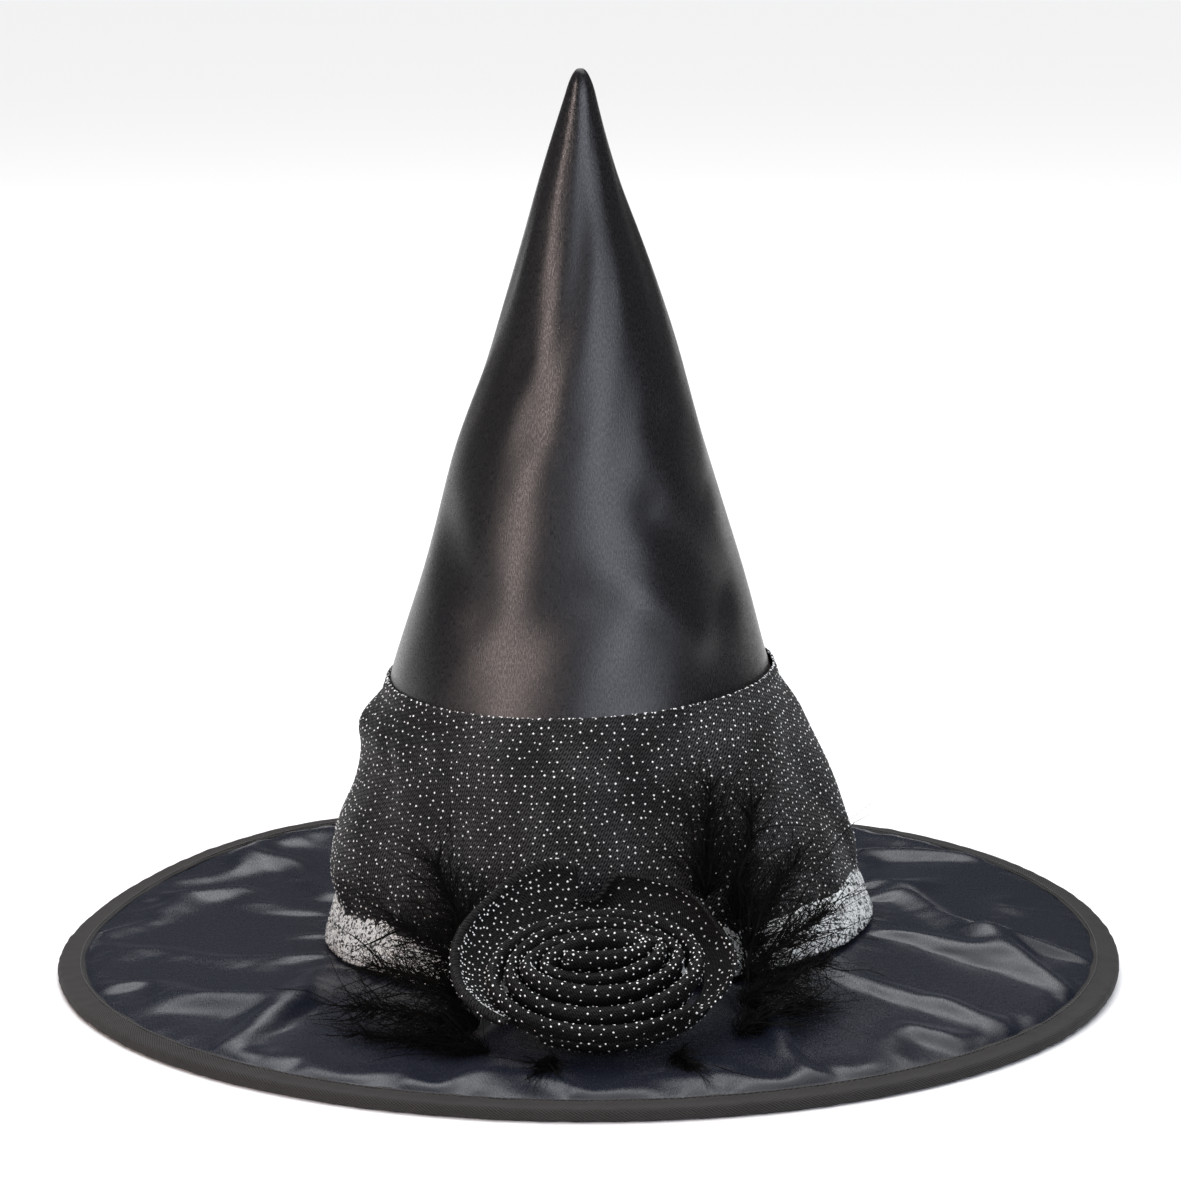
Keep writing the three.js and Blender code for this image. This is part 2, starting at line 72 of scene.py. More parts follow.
def colour(name, description, rgb):
    return FloatVectorProperty(name=name, description=description, default=rgb,
                               subtype="COLOR", size=3, min=0, max=1)


class HatSizes(bpy.types.PropertyGroup):
    satin: length("Satin", "Thickness of the satin", 0.5)
    dents: length("Crown dents", "Depth of the soft dents in the crown", 1.5)
    folds: length("Brim folds", "Height of the loose folds in the brim's satin", 5.5)
    net: length("Net", "Thickness of the net", 0.45)
    dot_spacing: length("Dot spacing", "Distance between glitter dots", 3.5)
    dot_width: length("Dot width", "Width of a glitter dot", 0.82)
    ribbon: length("Ribbon", "Thickness of the silver ribbon", 0.5)
    crumple: length("Ribbon crumple", "Depth of the ribbon's creases", 0.9)
    stitch: length("Stitch", "Length of one stitch in the binding", 2.3)
    barb_length: length("Barb length", "Length of the longest feather barbs", 29)
    barbs: IntProperty(name="Barbs", description="Barbs on one feather", default=260, min=10)


class HatColours(bpy.types.PropertyGroup):
    crown: colour("Crown satin", "Colour of the crown", (0.006, 0.006, 0.007))
    brim: colour("Brim satin", "Colour of the brim", (0.003, 0.004, 0.009))
    binding: colour("Binding", "Colour of the twill binding", (0.022, 0.021, 0.020))
    net: colour("Net", "Colour of the net's yarn", (0.014, 0.014, 0.0145))
    dots: colour("Dots", "Colour of the glitter dots", (0.95, 0.97, 0.96))
    ribbon: colour("Ribbon", "Colour of the metallic ribbon", (0.86, 0.89, 0.88))
    feathers: colour("Feathers", "Colour of the feathers", (0.0022, 0.0022, 0.002))
    lining: colour("Stiffener", "Colour of the stiff cloth inside", (0.020, 0.020, 0.021))


# ---- The hat's shape, read from the frame ---------------------------------------------------

def tree_of(node):
    mesh = frame["nodes"][node].data
    mesh.calc_loop_triangles()
    return BVHTree.FromPolygons([v.co for v in mesh.vertices],
                                [t.vertices for t in mesh.loop_triangles])


def corners_of(node):
    return np.array([v.co[:] for v in frame["nodes"][node].data.vertices])


def hit(tree, origin, direction):
    found = tree.ray_cast(Vector(origin), Vector(direction))[0]
    if found is None:
        raise RuntimeError(f"the frame has no surface below {origin}")
    return found


def soften(values, times):
    """Averages each value with its neighbours, keeping the two ends."""
    for _ in range(times):
        inner = 0.25 * values[:-2] + 0.5 * values[1:-1] + 0.25 * values[2:]
        values = np.concatenate([values[:1], inner, values[-1:]])
    return values


class Crown:
    """Centre and radius of the crown's satin at each height."""

    TIP = 8 * MM  # the rounded tip's height

    def __init__(self):
        tree = tree_of("crown_satin")
        low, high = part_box("crown_satin")
        self.top = high.z
        self.heights = np.linspace(low.z + 14 * MM, high.z - self.TIP, 90)
        rows = []
        for z in self.heights:
            left = hit(tree, (-1, 0, z), (1, 0, 0)).x
            right = hit(tree, (1, 0, z), (-1, 0, 0)).x
            middle = (left + right) / 2
            front = hit(tree, (middle, -1, z), (0, 1, 0)).y
            back = hit(tree, (middle, 1, z), (0, -1, 0)).y
            rows.append((middle, (front + back) / 2, (right - left) / 2))
        self.rows = np.array([soften(column, 6) for column in np.array(rows).T])
        reach = self.rows[2]
        slope = (reach[-4] - reach[-1]) / (self.heights[-1] - self.heights[-4])
        self.pointed = (2 * slope * reach[-1] - reach[-1] ** 2 / self.TIP) / self.TIP
        self.blunt = (reach[-1] ** 2 - self.pointed * self.TIP ** 2) / self.TIP

    def at(self, z):
        """Centre x, centre y and radius at heights z; below the samples the cone goes on."""
        z = np.asarray(z, float)
        out = []
        for column in self.rows:
            slope = (column[4] - column[0]) / (self.heights[4] - self.heights[0])
            below = np.minimum(z - self.heights[0], 0) * slope
            out.append(np.interp(z, self.heights, column) + below)
        down = np.clip(self.top - z, 0, None)
        tip = np.sqrt(np.clip(self.pointed * down ** 2 + self.blunt * down, 0, None))
        out[2] = np.where(down < self.TIP, tip, out[2])
        return out

    def place(self, angle, z, stand_off):
        """Points at an angle and height, a distance off the satin."""
        x, y, radius = self.at(z)
        reach = np.maximum(radius + stand_off, 0)
        return np.stack([x + reach * np.cos(angle), y + reach * np.sin(angle),
                         z + 0 * angle], axis=-1)

    def flat(self, angle, z):
        """Places on the flat cut of the cone, which meets itself at the back."""
        turn = (angle - BACK - math.pi) * foot.radius / self.slant
        from_tip = self.slant * (self.top - z) / (self.top - foot.plane.c)
        return np.stack([from_tip * np.sin(turn), -from_tip * np.cos(turn)], axis=-1)

    @property
    def slant(self):
        return math.hypot(foot.radius, self.top - foot.plane.c)


class Brim:
    """Height of the brim's upper satin, smoothed round the brim."""

    COUNT = 40  # directions in which the frame's brim has its own corners
    EDGE_FLAT = 5.5 * MM  # width of the level strip along the edge
    TAPE = 9.4 * MM  # width of the binding on each face

    def __init__(self):
        self.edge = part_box("brim_binding")[1].y
        self.level = self.edge - self.EDGE_FLAT
        self.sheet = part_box("brim_top_satin")[1].y
        self.binding = self.edge - self.TAPE
        tree = tree_of("brim_top_satin")
        self.radii = np.linspace(foot.radius - 1.5 * MM, self.sheet - 0.2 * MM, 60)
        rows = []
        for k in range(self.COUNT):
            spots = [self.flat(BACK + TAU * k / self.COUNT, r) for r in self.radii]
            rows.append([hit(tree, (x, y, 1), (0, 0, -1)).z for x, y in spots])
        waves = np.fft.rfft(np.array(rows), axis=0) / self.COUNT
        waves[1:-1] *= 2
        self.waves = [soften(ring.real, 4) + 1j * soften(ring.imag, 4) for ring in waves]

    def flat(self, angle, radius):
        """Place in plan: rings drift from the brim's middle to the crown's foot."""
        share = np.clip((self.level - radius) / (self.level - foot.radius), 0, 1)
        return foot.x * share + radius * np.cos(angle), radius * np.sin(angle)

    def height(self, angle, radius):
        """Height at paired arrays of angles and radii."""
        angle, radius = np.broadcast_arrays(np.asarray(angle, float), np.asarray(radius, float))
        total = np.zeros(angle.shape)
        for order, ring in enumerate(self.waves):
            part = (np.interp(radius, self.radii, ring.real)
                    + 1j * np.interp(radius, self.radii, ring.imag))
            total += (np.exp(1j * order * (angle - BACK)) * part).real
        return total

    def place(self, angle, radius, rise):
        x, y = self.flat(angle, radius)
        return np.stack([x, y, self.height(angle, radius) + rise], axis=-1)

    def top(self, x, y):
        """Height of the upper satin at places in plan."""
        share = np.clip((self.level - np.hypot(x, y)) / (self.level - foot.radius), 0, 1)
        centred = x - foot.x * share
        radius = np.clip(np.hypot(centred, y), foot.radius, self.edge)
        return self.height(np.arctan2(y, centred), radius)


class Plane:
    """The level, tilted line that a ring of a node's corners lies on."""

    def __init__(self, corners):
        x, y, z = corners.T
        self.a, self.b, self.c = np.linalg.lstsq(
            np.stack([x, y, np.ones_like(x)], axis=1), z, rcond=None)[0]

    def at(self, x, y):
        return self.a * x + self.b * y + self.c


class Foot:
    """The ring where the crown's satin meets the brim."""

    def __init__(self):
        low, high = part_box("crown_satin")
        self.radius = high.y
        self.x = (low.x + high.x) / 2
        corners = corners_of("crown_satin")
        reach = np.hypot(corners[:, 0] - self.x, corners[:, 1])
        self.plane = Plane(corners[reach > self.radius - 0.1 * MM])

    def height(self, angle):
        x = self.x + self.radius * np.cos(angle)
        return self.plane.at(x, self.radius * np.sin(angle))


foot = Foot()
crown = Crown()
brim = Brim()


# ---- Random fields --------------------------------------------------------------------------

def ripples(across, along, wave_across, wave_along, seed, count=14):
    """Smooth bumps between about -1 and 1, from waves of seeded directions and phases.

    across and along are lengths; the wave sizes are the shortest wanted on each.
    """
    draw = np.random.default_rng(seed)
    total = np.zeros(np.broadcast(across, along).shape)
    for _ in range(count):
        a = draw.uniform(-1, 1) * TAU / wave_across
        b = draw.uniform(-1, 1) * TAU / wave_along
        total += np.sin(a * across + b * along + draw.uniform(0, TAU))
    return total / math.sqrt(count)


def round_ripples(angle, along, orders, wave_along, seed, count=14):
    """Ripples that close round a ring: orders is the largest number of waves round it."""
    draw = np.random.default_rng(seed)
    total = np.zeros(np.broadcast(angle, along).shape)
    for _ in range(count):
        order = draw.integers(1, orders + 1) * draw.choice((-1, 1))
        b = draw.uniform(-1, 1) * TAU / wave_along
        total += np.sin(order * angle + b * along + draw.uniform(0, TAU))
    return total / math.sqrt(count)


# ---- Making meshes --------------------------------------------------------------------------

def piece_of(name, mesh, finish, smooth=True):
    mesh.materials.append(finish)
    mesh.polygons.foreach_set("use_smooth", [smooth] * len(mesh.polygons))
    mesh.update()
    made = bpy.data.objects.new(name, mesh)
    bpy.context.scene.collection.objects.link(made)
    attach(made, "root")
    return made


def apply_modifiers(made):
    graph = bpy.context.evaluated_depsgraph_get()
    mesh = bpy.data.meshes.new_from_object(made.evaluated_get(graph))
    old = made.data
    made.modifiers.clear()
    made.data = mesh
    bpy.data.meshes.remove(old)


def thicken(made, thickness, offset=-1):
    """Gives a sheet its thickness; offset -1 keeps the face that was modelled."""
    modifier = made.modifiers.new("Thickness", "SOLIDIFY")
    modifier.thickness = thickness
    modifier.offset = offset
    modifier.use_even_offset = False
    apply_modifiers(made)


def tubes_piece(name, routes, radii, sides, finish):
    """Many thin tubes as one piece. routes is (tubes, points, 3), radii (tubes, points)."""
    count, steps = routes.shape[:2]
    along = np.gradient(routes, axis=1)
    along /= np.linalg.norm(along, axis=-1, keepdims=True) + 1e-12
    helper = np.where(np.abs(along[..., 2:3]) > 0.9, [1.0, 0, 0], [0, 0, 1.0])
    side = np.cross(along, helper)
    side /= np.linalg.norm(side, axis=-1, keepdims=True) + 1e-12
    up = np.cross(side, along)
    turn = TAU * np.arange(sides) / sides
    ring = (np.cos(turn)[:, None] * side[:, :, None] + np.sin(turn)[:, None] * up[:, :, None])
    points = routes[:, :, None] + radii[:, :, None, None] * ring
    first = (np.arange(count) * steps * sides)[:, None, None]
    s, k = np.meshgrid(np.arange(steps - 1), np.arange(sides), indexing="ij")
    k2 = (k + 1) % sides
    walls = np.stack([s * sides + k2, s * sides + k, (s + 1) * sides + k,
                      (s + 1) * sides + k2], axis=-1).reshape(1, -1, 4) + first
    ends = np.stack([np.arange(sides), np.arange(sides)[::-1] + (steps - 1) * sides])
    ends = ends.reshape(1, 2, sides) + first
    faces = walls.reshape(-1, 4).tolist() + ends.reshape(-1, sides).tolist()
    mesh = bpy.data.meshes.new(name)
    mesh.from_pydata(points.reshape(-1, 3).tolist(), [], faces)
    return piece_of(name, mesh, finish, smooth=sides > 4)


def dots_piece(name, places, normals, width, finish, seed):
    """Small flat drops of glitter, each a squashed eight-sided bead."""
    draw = np.random.default_rng(seed)
    count = len(places)
    normals = normals + draw.normal(0, 0.16, normals.shape)
    normals /= np.linalg.norm(normals, axis=-1, keepdims=True)
    helper = np.where(np.abs(normals[:, 2:3]) > 0.9, [1.0, 0, 0], [0, 0, 1.0])
    side = np.cross(normals, helper)
    side /= np.linalg.norm(side, axis=-1, keepdims=True)
    up = np.cross(normals, side)
    half = width / 2 * draw.uniform(0.7, 1.15, (count, 1))
    tall = half * 0.5
    corners = np.stack([places + half * side, places + half * up, places - half * side,
                        places - half * up, places + tall * normals, places - tall * normals],
                       axis=1)
    first = (np.arange(count) * 6)[:, None, None]
    faces = np.array([(k, (k + 1) % 4, 4) for k in range(4)]
                     + [((k + 1) % 4, k, 5) for k in range(4)])[None] + first
    mesh = bpy.data.meshes.new(name)
    mesh.from_pydata(corners.reshape(-1, 3).tolist(), [], faces.reshape(-1, 3).tolist())
    return piece_of(name, mesh, finish, smooth=False)


class Cloth:
    """A grid of points with their places on the flat cloth, in metres.

    Rows go up and columns go along. In a ring, the last column is the first one again.
    """

    def __init__(self, points, flat, ring=False):
        self.points = points
        self.flat = np.broadcast_to(flat, (*points.shape[:2], 2))
        self.ring = ring

    def normals(self):
        if self.ring:
            inner = self.points[:, :-1]
            across = np.roll(inner, -1, axis=1) - np.roll(inner, 1, axis=1)
            across = np.concatenate([across, across[:, :1]], axis=1)
        else:
            across = np.gradient(self.points, axis=1)
        normal = np.cross(across, np.gradient(self.points, axis=0))
        return normal / (np.linalg.norm(normal, axis=-1, keepdims=True) + 1e-12)

    def push(self, amount):
        """Moves every point out along its normal."""
        self.points = self.points + self.normals() * np.asarray(amount)[..., None]
        return self

    def make(self, name, finish, thickness=0.0, capped=False):
        points = self.points[:, :-1] if self.ring else self.points
        rows, columns = points.shape[:2]
        r, c = np.meshgrid(np.arange(rows - 1), np.arange(self.flat.shape[1] - 1),
                           indexing="ij")
        after = (c + 1) % columns
        corners = np.stack([r * columns + c, r * columns + after,
                            (r + 1) * columns + after, (r + 1) * columns + c], axis=-1)
        faces = corners.reshape(-1, 4).tolist()
        flat = np.stack([self.flat[r, c], self.flat[r, c + 1], self.flat[r + 1, c + 1],
                         self.flat[r + 1, c]], axis=-2).reshape(-1, 2)
        if capped:
            faces.append([(rows - 1) * columns + k for k in range(columns)])
            flat = np.concatenate([flat, self.flat[-1, :-1]])
        mesh = bpy.data.meshes.new(name)
        mesh.from_pydata(points.reshape(-1, 3).tolist(), [], faces)
        layer = mesh.uv_layers.new(name="cloth")
        layer.data.foreach_set("uv", flat.reshape(-1).astype(np.float32))
        made = piece_of(name, mesh, finish)
        if thickness:
            thicken(made, thickness)
        return made

    def scatter(self, spacing, seed, kept=0.94):
        """Places and normals of dots on a staggered, shaken pattern over the cloth."""
        draw = np.random.default_rng(seed)
        normals = self.normals()
        rows = self.points.shape[0]
        rise = np.linalg.norm(np.diff(self.points[:, 0], axis=0), axis=-1).sum()
        lines = max(1, round(rise / (spacing * 0.86)))
        places, ways = [], []
        for line in range(lines):
            row = self.points[round((line + 0.5) / lines * (rows - 1))]
            count = max(1, round(np.linalg.norm(np.diff(row, axis=0), axis=-1).sum() / spacing))
            v = (line + 0.5 + draw.uniform(-0.3, 0.3, count)) / lines * (rows - 1)
            u = (np.arange(count) + 0.5 * (line % 2) + draw.uniform(-0.3, 0.3, count)) / count
            on = draw.uniform(0, 1, count) < kept
            u = (u % 1.0) * (self.points.shape[1] - 1)
            v, u = v[on], u[on]
            r, c = np.minimum(v.astype(int), rows - 2), u.astype(int)
            fv, fu = (v - r)[:, None], (u - c)[:, None]
            for grid, out in ((self.points, places), (normals, ways)):
                low = grid[r, c] * (1 - fu) + grid[r, c + 1] * fu
                high = grid[r + 1, c] * (1 - fu) + grid[r + 1, c + 1] * fu
                out.append(low * (1 - fv) + high * fv)
        return np.concatenate(places), np.concatenate(ways)


# ---- Finishes -------------------------------------------------------------------------------

WAVE_BANDS = 3.18  # bands to the metre in a wave node of scale 1


class Finish:
    """A node material: each method adds one kind of detail and gives back a socket."""

    def __init__(self, name, rgb, roughness, metallic=0.0, sheen=0.0, specular=0.5):
        self.material = bpy.data.materials.new(name)
        self.material.use_nodes = True
        self.tree = self.material.node_tree
        self.shader = self.tree.nodes["Principled BSDF"]
        self.rgb = (*rgb, 1)
        self.shader.inputs["Base Color"].default_value = self.rgb
        self.shader.inputs["Roughness"].default_value = roughness
        self.shader.inputs["Metallic"].default_value = metallic
        self.shader.inputs["Sheen Weight"].default_value = sheen
        self.shader.inputs["Specular IOR Level"].default_value = specular
        self.bump = None

    def node(self, kind, settings=None, **inputs):
        made = self.tree.nodes.new(kind)
        for key, value in (settings or {}).items():
            setattr(made, key, value)
        for key, value in inputs.items():
            socket = made.inputs[int(key[1:])] if key[1:].isdigit() else made.inputs[key]
            if isinstance(value, bpy.types.NodeSocket):
                self.tree.links.new(value, socket)
            else:
                socket.default_value = value
        return made

    def cloth_place(self, turn=0.0):
        """The place on the flat cloth, in metres, turned by an angle."""
        flat = self.node("ShaderNodeUVMap", {"uv_map": "cloth"}).outputs[0]
        return self.node("ShaderNodeMapping", Vector=flat, Rotation=(0, 0, turn)).outputs[0]

    def object_place(self):
        return self.node("ShaderNodeTexCoord").outputs["Object"]

    def noise(self, place, size, detail=2.0, roughness=0.5):
        made = self.node("ShaderNodeTexNoise", Vector=place, Scale=1 / size, Detail=detail,
                         Roughness=roughness)
        return made.outputs["Fac"]

    def threads(self, place, size, direction="X", distortion=0.0):
        """Rows of round threads, each of the given width."""
        made = self.node("ShaderNodeTexWave", {"wave_type": "BANDS",
                                               "bands_direction": direction},
                         Vector=place, Scale=1 / size / WAVE_BANDS, Distortion=distortion)
        return made.outputs["Fac"]

    def cells(self, place, size, output="Color"):
        return self.node("ShaderNodeTexVoronoi", Vector=place, Scale=1 / size).outputs[output]

    def math(self, operation, a, b=0.0):
        return self.node("ShaderNodeMath", {"operation": operation}, _0=a, _1=b).outputs[0]

    def spread(self, value, low, high, new_low, new_high):
        return self.node("ShaderNodeMapRange", _0=value, _1=low, _2=high, _3=new_low,
                         _4=new_high).outputs[0]

    def tint(self, amount, rgb):
        """Blends the base colour towards another by an amount."""
        base = self.shader.inputs["Base Color"]
        start = base.links[0].from_socket if base.links else self.rgb
        mixed = self.node("ShaderNodeMix", {"data_type": "RGBA"}, _0=amount, _6=start,
                          _7=(*rgb, 1))
        self.tree.links.new(mixed.outputs[2], base)
        return self

    def rough(self, value):
        self.tree.links.new(value, self.shader.inputs["Roughness"])
        return self

    def relief(self, height, distance, strength=1.0):
        """Adds relief of the given depth on top of what there is."""
        made = self.node("ShaderNodeBump", Height=height, Distance=distance, Strength=strength)
        if self.bump:
            self.tree.links.new(self.bump, made.inputs["Normal"])
        self.bump = made.outputs[0]
        self.tree.links.new(self.bump, self.shader.inputs["Normal"])
        return self


def lighter(rgb, factor):
    return tuple(min(1.0, value * factor) for value in rgb)


def satin(name, rgb, warm, gloss, specular=0.5):
    """Glossy satin: fine floats along one way, a soft sheen and a slight slub."""
    made = Finish(name, rgb, 0.4, sheen=0.04, specular=specular)
    made.shader.inputs["Sheen Roughness"].default_value = 0.45
    made.shader.inputs["Sheen Tint"].default_value = (*warm, 1)
    made.shader.inputs["Anisotropic"].default_value = 0.2
    place = made.cloth_place()
    floats = made.node("ShaderNodeMapping", Vector=place, Scale=(1, 0.25, 1)).outputs[0]
    grain = made.noise(floats, 0.42 * MM, detail=3, roughness=0.7)
    slub = made.noise(place, 9 * MM, detail=2)
    made.tint(made.spread(grain, 0.35, 0.75, 0, 0.55), lighter(rgb, 2.2))
    made.tint(made.spread(slub, 0.4, 0.8, 0, 0.25), lighter(rgb, 1.6))
    made.rough(made.spread(grain, 0.3, 0.7, gloss - 0.12, gloss + 0.12))
    made.relief(grain, 0.09 * MM)
    return made.material


def twill(name, rgb):
    """Matte tape with steep diagonal ribs."""
    made = Finish(name, lighter(rgb, 0.5), 0.85, sheen=0.05, specular=0.12)
    place = made.cloth_place(turn=math.radians(58))
    ribs = made.threads(place, 0.75 * MM, distortion=0.6)
    fluff = made.noise(made.cloth_place(), 0.5 * MM, detail=3)
    wear = made.noise(made.cloth_place(), 24 * MM)
    made.tint(made.spread(ribs, 0.2, 1, 0, 0.9), lighter(rgb, 2.4))
    made.tint(made.spread(fluff, 0.5, 0.75, 0, 0.5), lighter(rgb, 3))
    made.tint(made.spread(wear, 0.45, 0.8, 0, 0.3), lighter(rgb, 0.6))
    made.relief(ribs, 0.12 * MM).relief(fluff, 0.06 * MM)
    return made.material


def net(name, rgb):
    """Fine net: dark holes between crossing yarns that make small leaning cells, with painted light
    and shade in broad patches.
    """
    made = Finish(name, lighter(rgb, 0.05), 0.48, specular=0.2)
    first = made.threads(made.cloth_place(math.radians(24)), 0.85 * MM, "X", 0.5)
    second = made.threads(made.cloth_place(math.radians(-40)), 0.9 * MM, "Y", 0.4)
    courses = made.threads(made.cloth_place(), 1.5 * MM, "Y")
    yarn = made.math("MAXIMUM", made.math("POWER", first, 2.2), made.math("POWER", second, 5.0))
    yarn = made.math("MULTIPLY", yarn, made.spread(courses, 0, 1, 0.45, 1))
    # Broad random patches that dim the yarn: painted light and shade standing in for the net's soft
    # dents.
    uneven = made.noise(made.cloth_place(), 26 * MM, detail=3)
    made.tint(made.math("MULTIPLY", yarn, made.spread(uneven, 0.4, 0.62, 0.25, 1)),
              lighter(rgb, 5.0))
    made.rough(made.spread(yarn, 0.1, 0.6, 1.0, 0.42))
    made.relief(yarn, 0.12 * MM)
    return made.material


def glitter(name, rgb):
    made = Finish(name, rgb, 0.35, specular=1.0)
    shade = made.noise(made.object_place(), 2.5 * MM, detail=1)
    made.tint(made.spread(shade, 0.5, 0.8, 0, 0.5), lighter(rgb, 0.6))
    return made.material


def lurex(name, rgb):
    """Metallic cloth of tiny flat yarns: its brightest cells are painted glints and its darkest are
    painted shade.
    """
    made = Finish(name, rgb, 0.28, metallic=0.25, specular=1.0)
    place = made.cloth_place()
    flecks = made.cells(place, 0.75 * MM)
    light = made.node("ShaderNodeSeparateColor", _0=flecks).outputs[0]
    weave = made.threads(place, 0.9 * MM, "Y")
    # Painted shade: the darkest cells are coloured near black, standing in for shade in the
    # ribbon's fine crumples.
    made.tint(made.spread(light, 0.25, 0.42, 1, 0), (0.02, 0.022, 0.022))
    # Painted glints: the brightest cells are coloured near white, standing in for light flashing
    # off single yarns.
    made.tint(made.spread(light, 0.65, 0.8, 0, 1), (0.97, 0.99, 0.98))
    made.rough(made.spread(light, 0, 1, 0.5, 0.2))
    made.relief(light, 0.55 * MM).relief(weave, 0.08 * MM)
    return made.material


def felt(name, rgb):
    made = Finish(name, rgb, 0.95, specular=0.15)
    fibres = made.noise(made.object_place(), 0.35 * MM, detail=4, roughness=0.8)
    blotch = made.noise(made.object_place(), 6 * MM)
    made.tint(made.spread(fibres, 0.45, 0.8, 0, 0.7), lighter(rgb, 2.4))
    made.tint(made.spread(blotch, 0.4, 0.8, 0, 0.4), lighter(rgb, 1.5))
    made.relief(fibres, 0.15 * MM)
    return made.material


def grosgrain(name, rgb):
    """Ribbed cotton band."""
    made = Finish(name, rgb, 0.8, specular=0.2)
    ribs = made.threads(made.cloth_place(), 0.9 * MM, "X")
    fluff = made.noise(made.cloth_place(), 0.6 * MM, detail=3)
    made.tint(made.spread(ribs, 0, 1, 0, 0.6), lighter(rgb, 1.9))
    made.tint(made.spread(fluff, 0.5, 0.9, 0, 0.4), lighter(rgb, 2.4))
    made.relief(ribs, 0.15 * MM)
    return made.material


def thread(name, rgb):
    made = Finish(name, rgb, 0.55, sheen=0.2)
    twist = made.noise(made.object_place(), 0.3 * MM, detail=2)
    made.tint(made.spread(twist, 0.3, 0.7, 0, 1), lighter(rgb, 2.5))
    made.relief(twist, 0.05 * MM)
    return made.material


def down(name, rgb):
    made = Finish(name, rgb, 0.65, specular=0.06)
    shade = made.noise(made.object_place(), 3 * MM, detail=2)
    made.tint(made.spread(shade, 0.5, 0.8, 0, 0.8), (0.007, 0.0065, 0.005))
    return made.material


def drawn_wire(name):
    made = Finish(name, (0.45, 0.45, 0.46), 0.35, metallic=1)
    marks = made.noise(made.object_place(), 1.2 * MM, detail=3)
    made.tint(made.spread(marks, 0.4, 0.7, 0, 0.6), (0.25, 0.25, 0.26))
    made.relief(marks, 0.02 * MM)
    return made.material


def glue(name):
    made = Finish(name, (0.72, 0.68, 0.58), 0.3)
    made.shader.inputs["Transmission Weight"].default_value = 0.3
    clouds = made.noise(made.object_place(), 4 * MM, detail=2)
    made.tint(made.spread(clouds, 0.4, 0.7, 0, 1), (0.82, 0.80, 0.74))
    made.relief(clouds, 0.5 * MM)
    return made.material


# ---- Crown and what lines it ----------------------------------------------------------------

def ring_grid(columns, rows):
    """Angles and shares for a ring: the last column is the first one again, at the back."""
    angle = BACK + TAU * np.arange(columns + 1) / columns
    return np.meshgrid(angle, rows)


def crease(across, along, start, end, width):
    """A groove between two places, 1 along its line and fading over its width."""
    run = np.array(end) - np.array(start)
    share = ((across - start[0]) * run[0] + (along - start[1]) * run[1]) / (run @ run)
    share = np.clip(share, 0, 1)
    gap = np.hypot(across - start[0] - share * run[0], along - start[1] - share * run[1])
    return np.exp(-(gap / width) ** 2)


def fade(value, start, end):
    """0 below start, 1 above end, smooth between."""
    share = np.clip((value - start) / (end - start), 0, 1)
    return share * share * (3 - 2 * share)


# Soft diagonal dents in the crown: two places as degrees from the front and height, width,
# depth; a negative depth is a ridge.
CROWN_DENTS = (
    ((30, 0.168), (58, 0.140), 0.010, 1.8),
    ((8, 0.150), (40, 0.128), 0.009, -1.3),
    ((48, 0.196), (66, 0.176), 0.009, 1.2),
    ((-20, 0.126), (6, 0.146), 0.012, 1.2),
    ((-66, 0.160), (-38, 0.135), 0.011, 1.3),
    ((-40, 0.215), (-22, 0.196), 0.009, 0.8),
    ((120, 0.170), (150, 0.140), 0.012, 1.8),
    ((-120, 0.190), (-146, 0.150), 0.012, 1.7),
)


def around_front(angle):
    """The angle from the front, from minus to plus half a turn."""
    return (angle + BACK + math.pi) % TAU - math.pi


def cone_body(z, low):
    """0 at the crown's foot and tip, 1 on the stretch between them."""
    return fade(z, low, low + 12 * MM) * (1 - fade(z, crown.top - 60 * MM, crown.top - 8 * MM))


def crown_dents(angle, z, sizes):
    """How far the cone stands off its true shape: the stiff lining bends with the satin."""
    wide = round_ripples(angle, z, 5, 90 * MM, seed=3)
    fine = round_ripples(angle, z, 16, 38 * MM, seed=4)
    amount = sizes.dents * (0.42 * wide + 0.10 * fine) * cone_body(z, foot.height(angle))
    for start, end, width, depth in CROWN_DENTS:
        reach = float(crown.at((start[1] + end[1]) / 2)[2])
        middle = math.radians((start[0] + end[0]) / 2)
        places = [(math.radians(a) * reach, h) for a, h in (start, end)]
        around = around_front(angle - middle) + middle
        amount -= depth * MM * crease(around * reach, z, *places, width)
    return amount


def crown_satin(sizes, colours):
    tip_rows = 12
    share = np.concatenate([np.linspace(0, 1, 176), [1] * tip_rows])
    angle, share = ring_grid(228, share)
    low = foot.height(angle)
    z = low + (crown.top - Crown.TIP - low) * share
    tip = np.linspace(0, 1, tip_rows + 1)[1:, None]
    z[-tip_rows:] = crown.top - Crown.TIP * (1 - tip) ** 2
    z[-1] = crown.top - 0.01 * MM
    cloth = Cloth(crown.place(angle, z, 0), crown.flat(angle, z), ring=True)
    amount = crown_dents(angle, z, sizes)
    seam = np.abs(around_front(angle - math.pi)) * crown.at(z)[2]
    amount -= 0.45 * MM * np.exp(-(seam / (1.1 * MM)) ** 2)
    pucker = ripples(seam, z, 40 * MM, 16 * MM, seed=5)
    amount += 0.13 * MM * pucker * np.exp(-(seam / (8 * MM)) ** 2) * cone_body(z, low)
    cloth.push(amount)
    made = cloth.make("crown_satin_cloth", satin("Cone satin", colours.crown, (1, 0.86, 0.8), 0.28),
                      sizes.satin, capped=True)
    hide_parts("crown_satin")


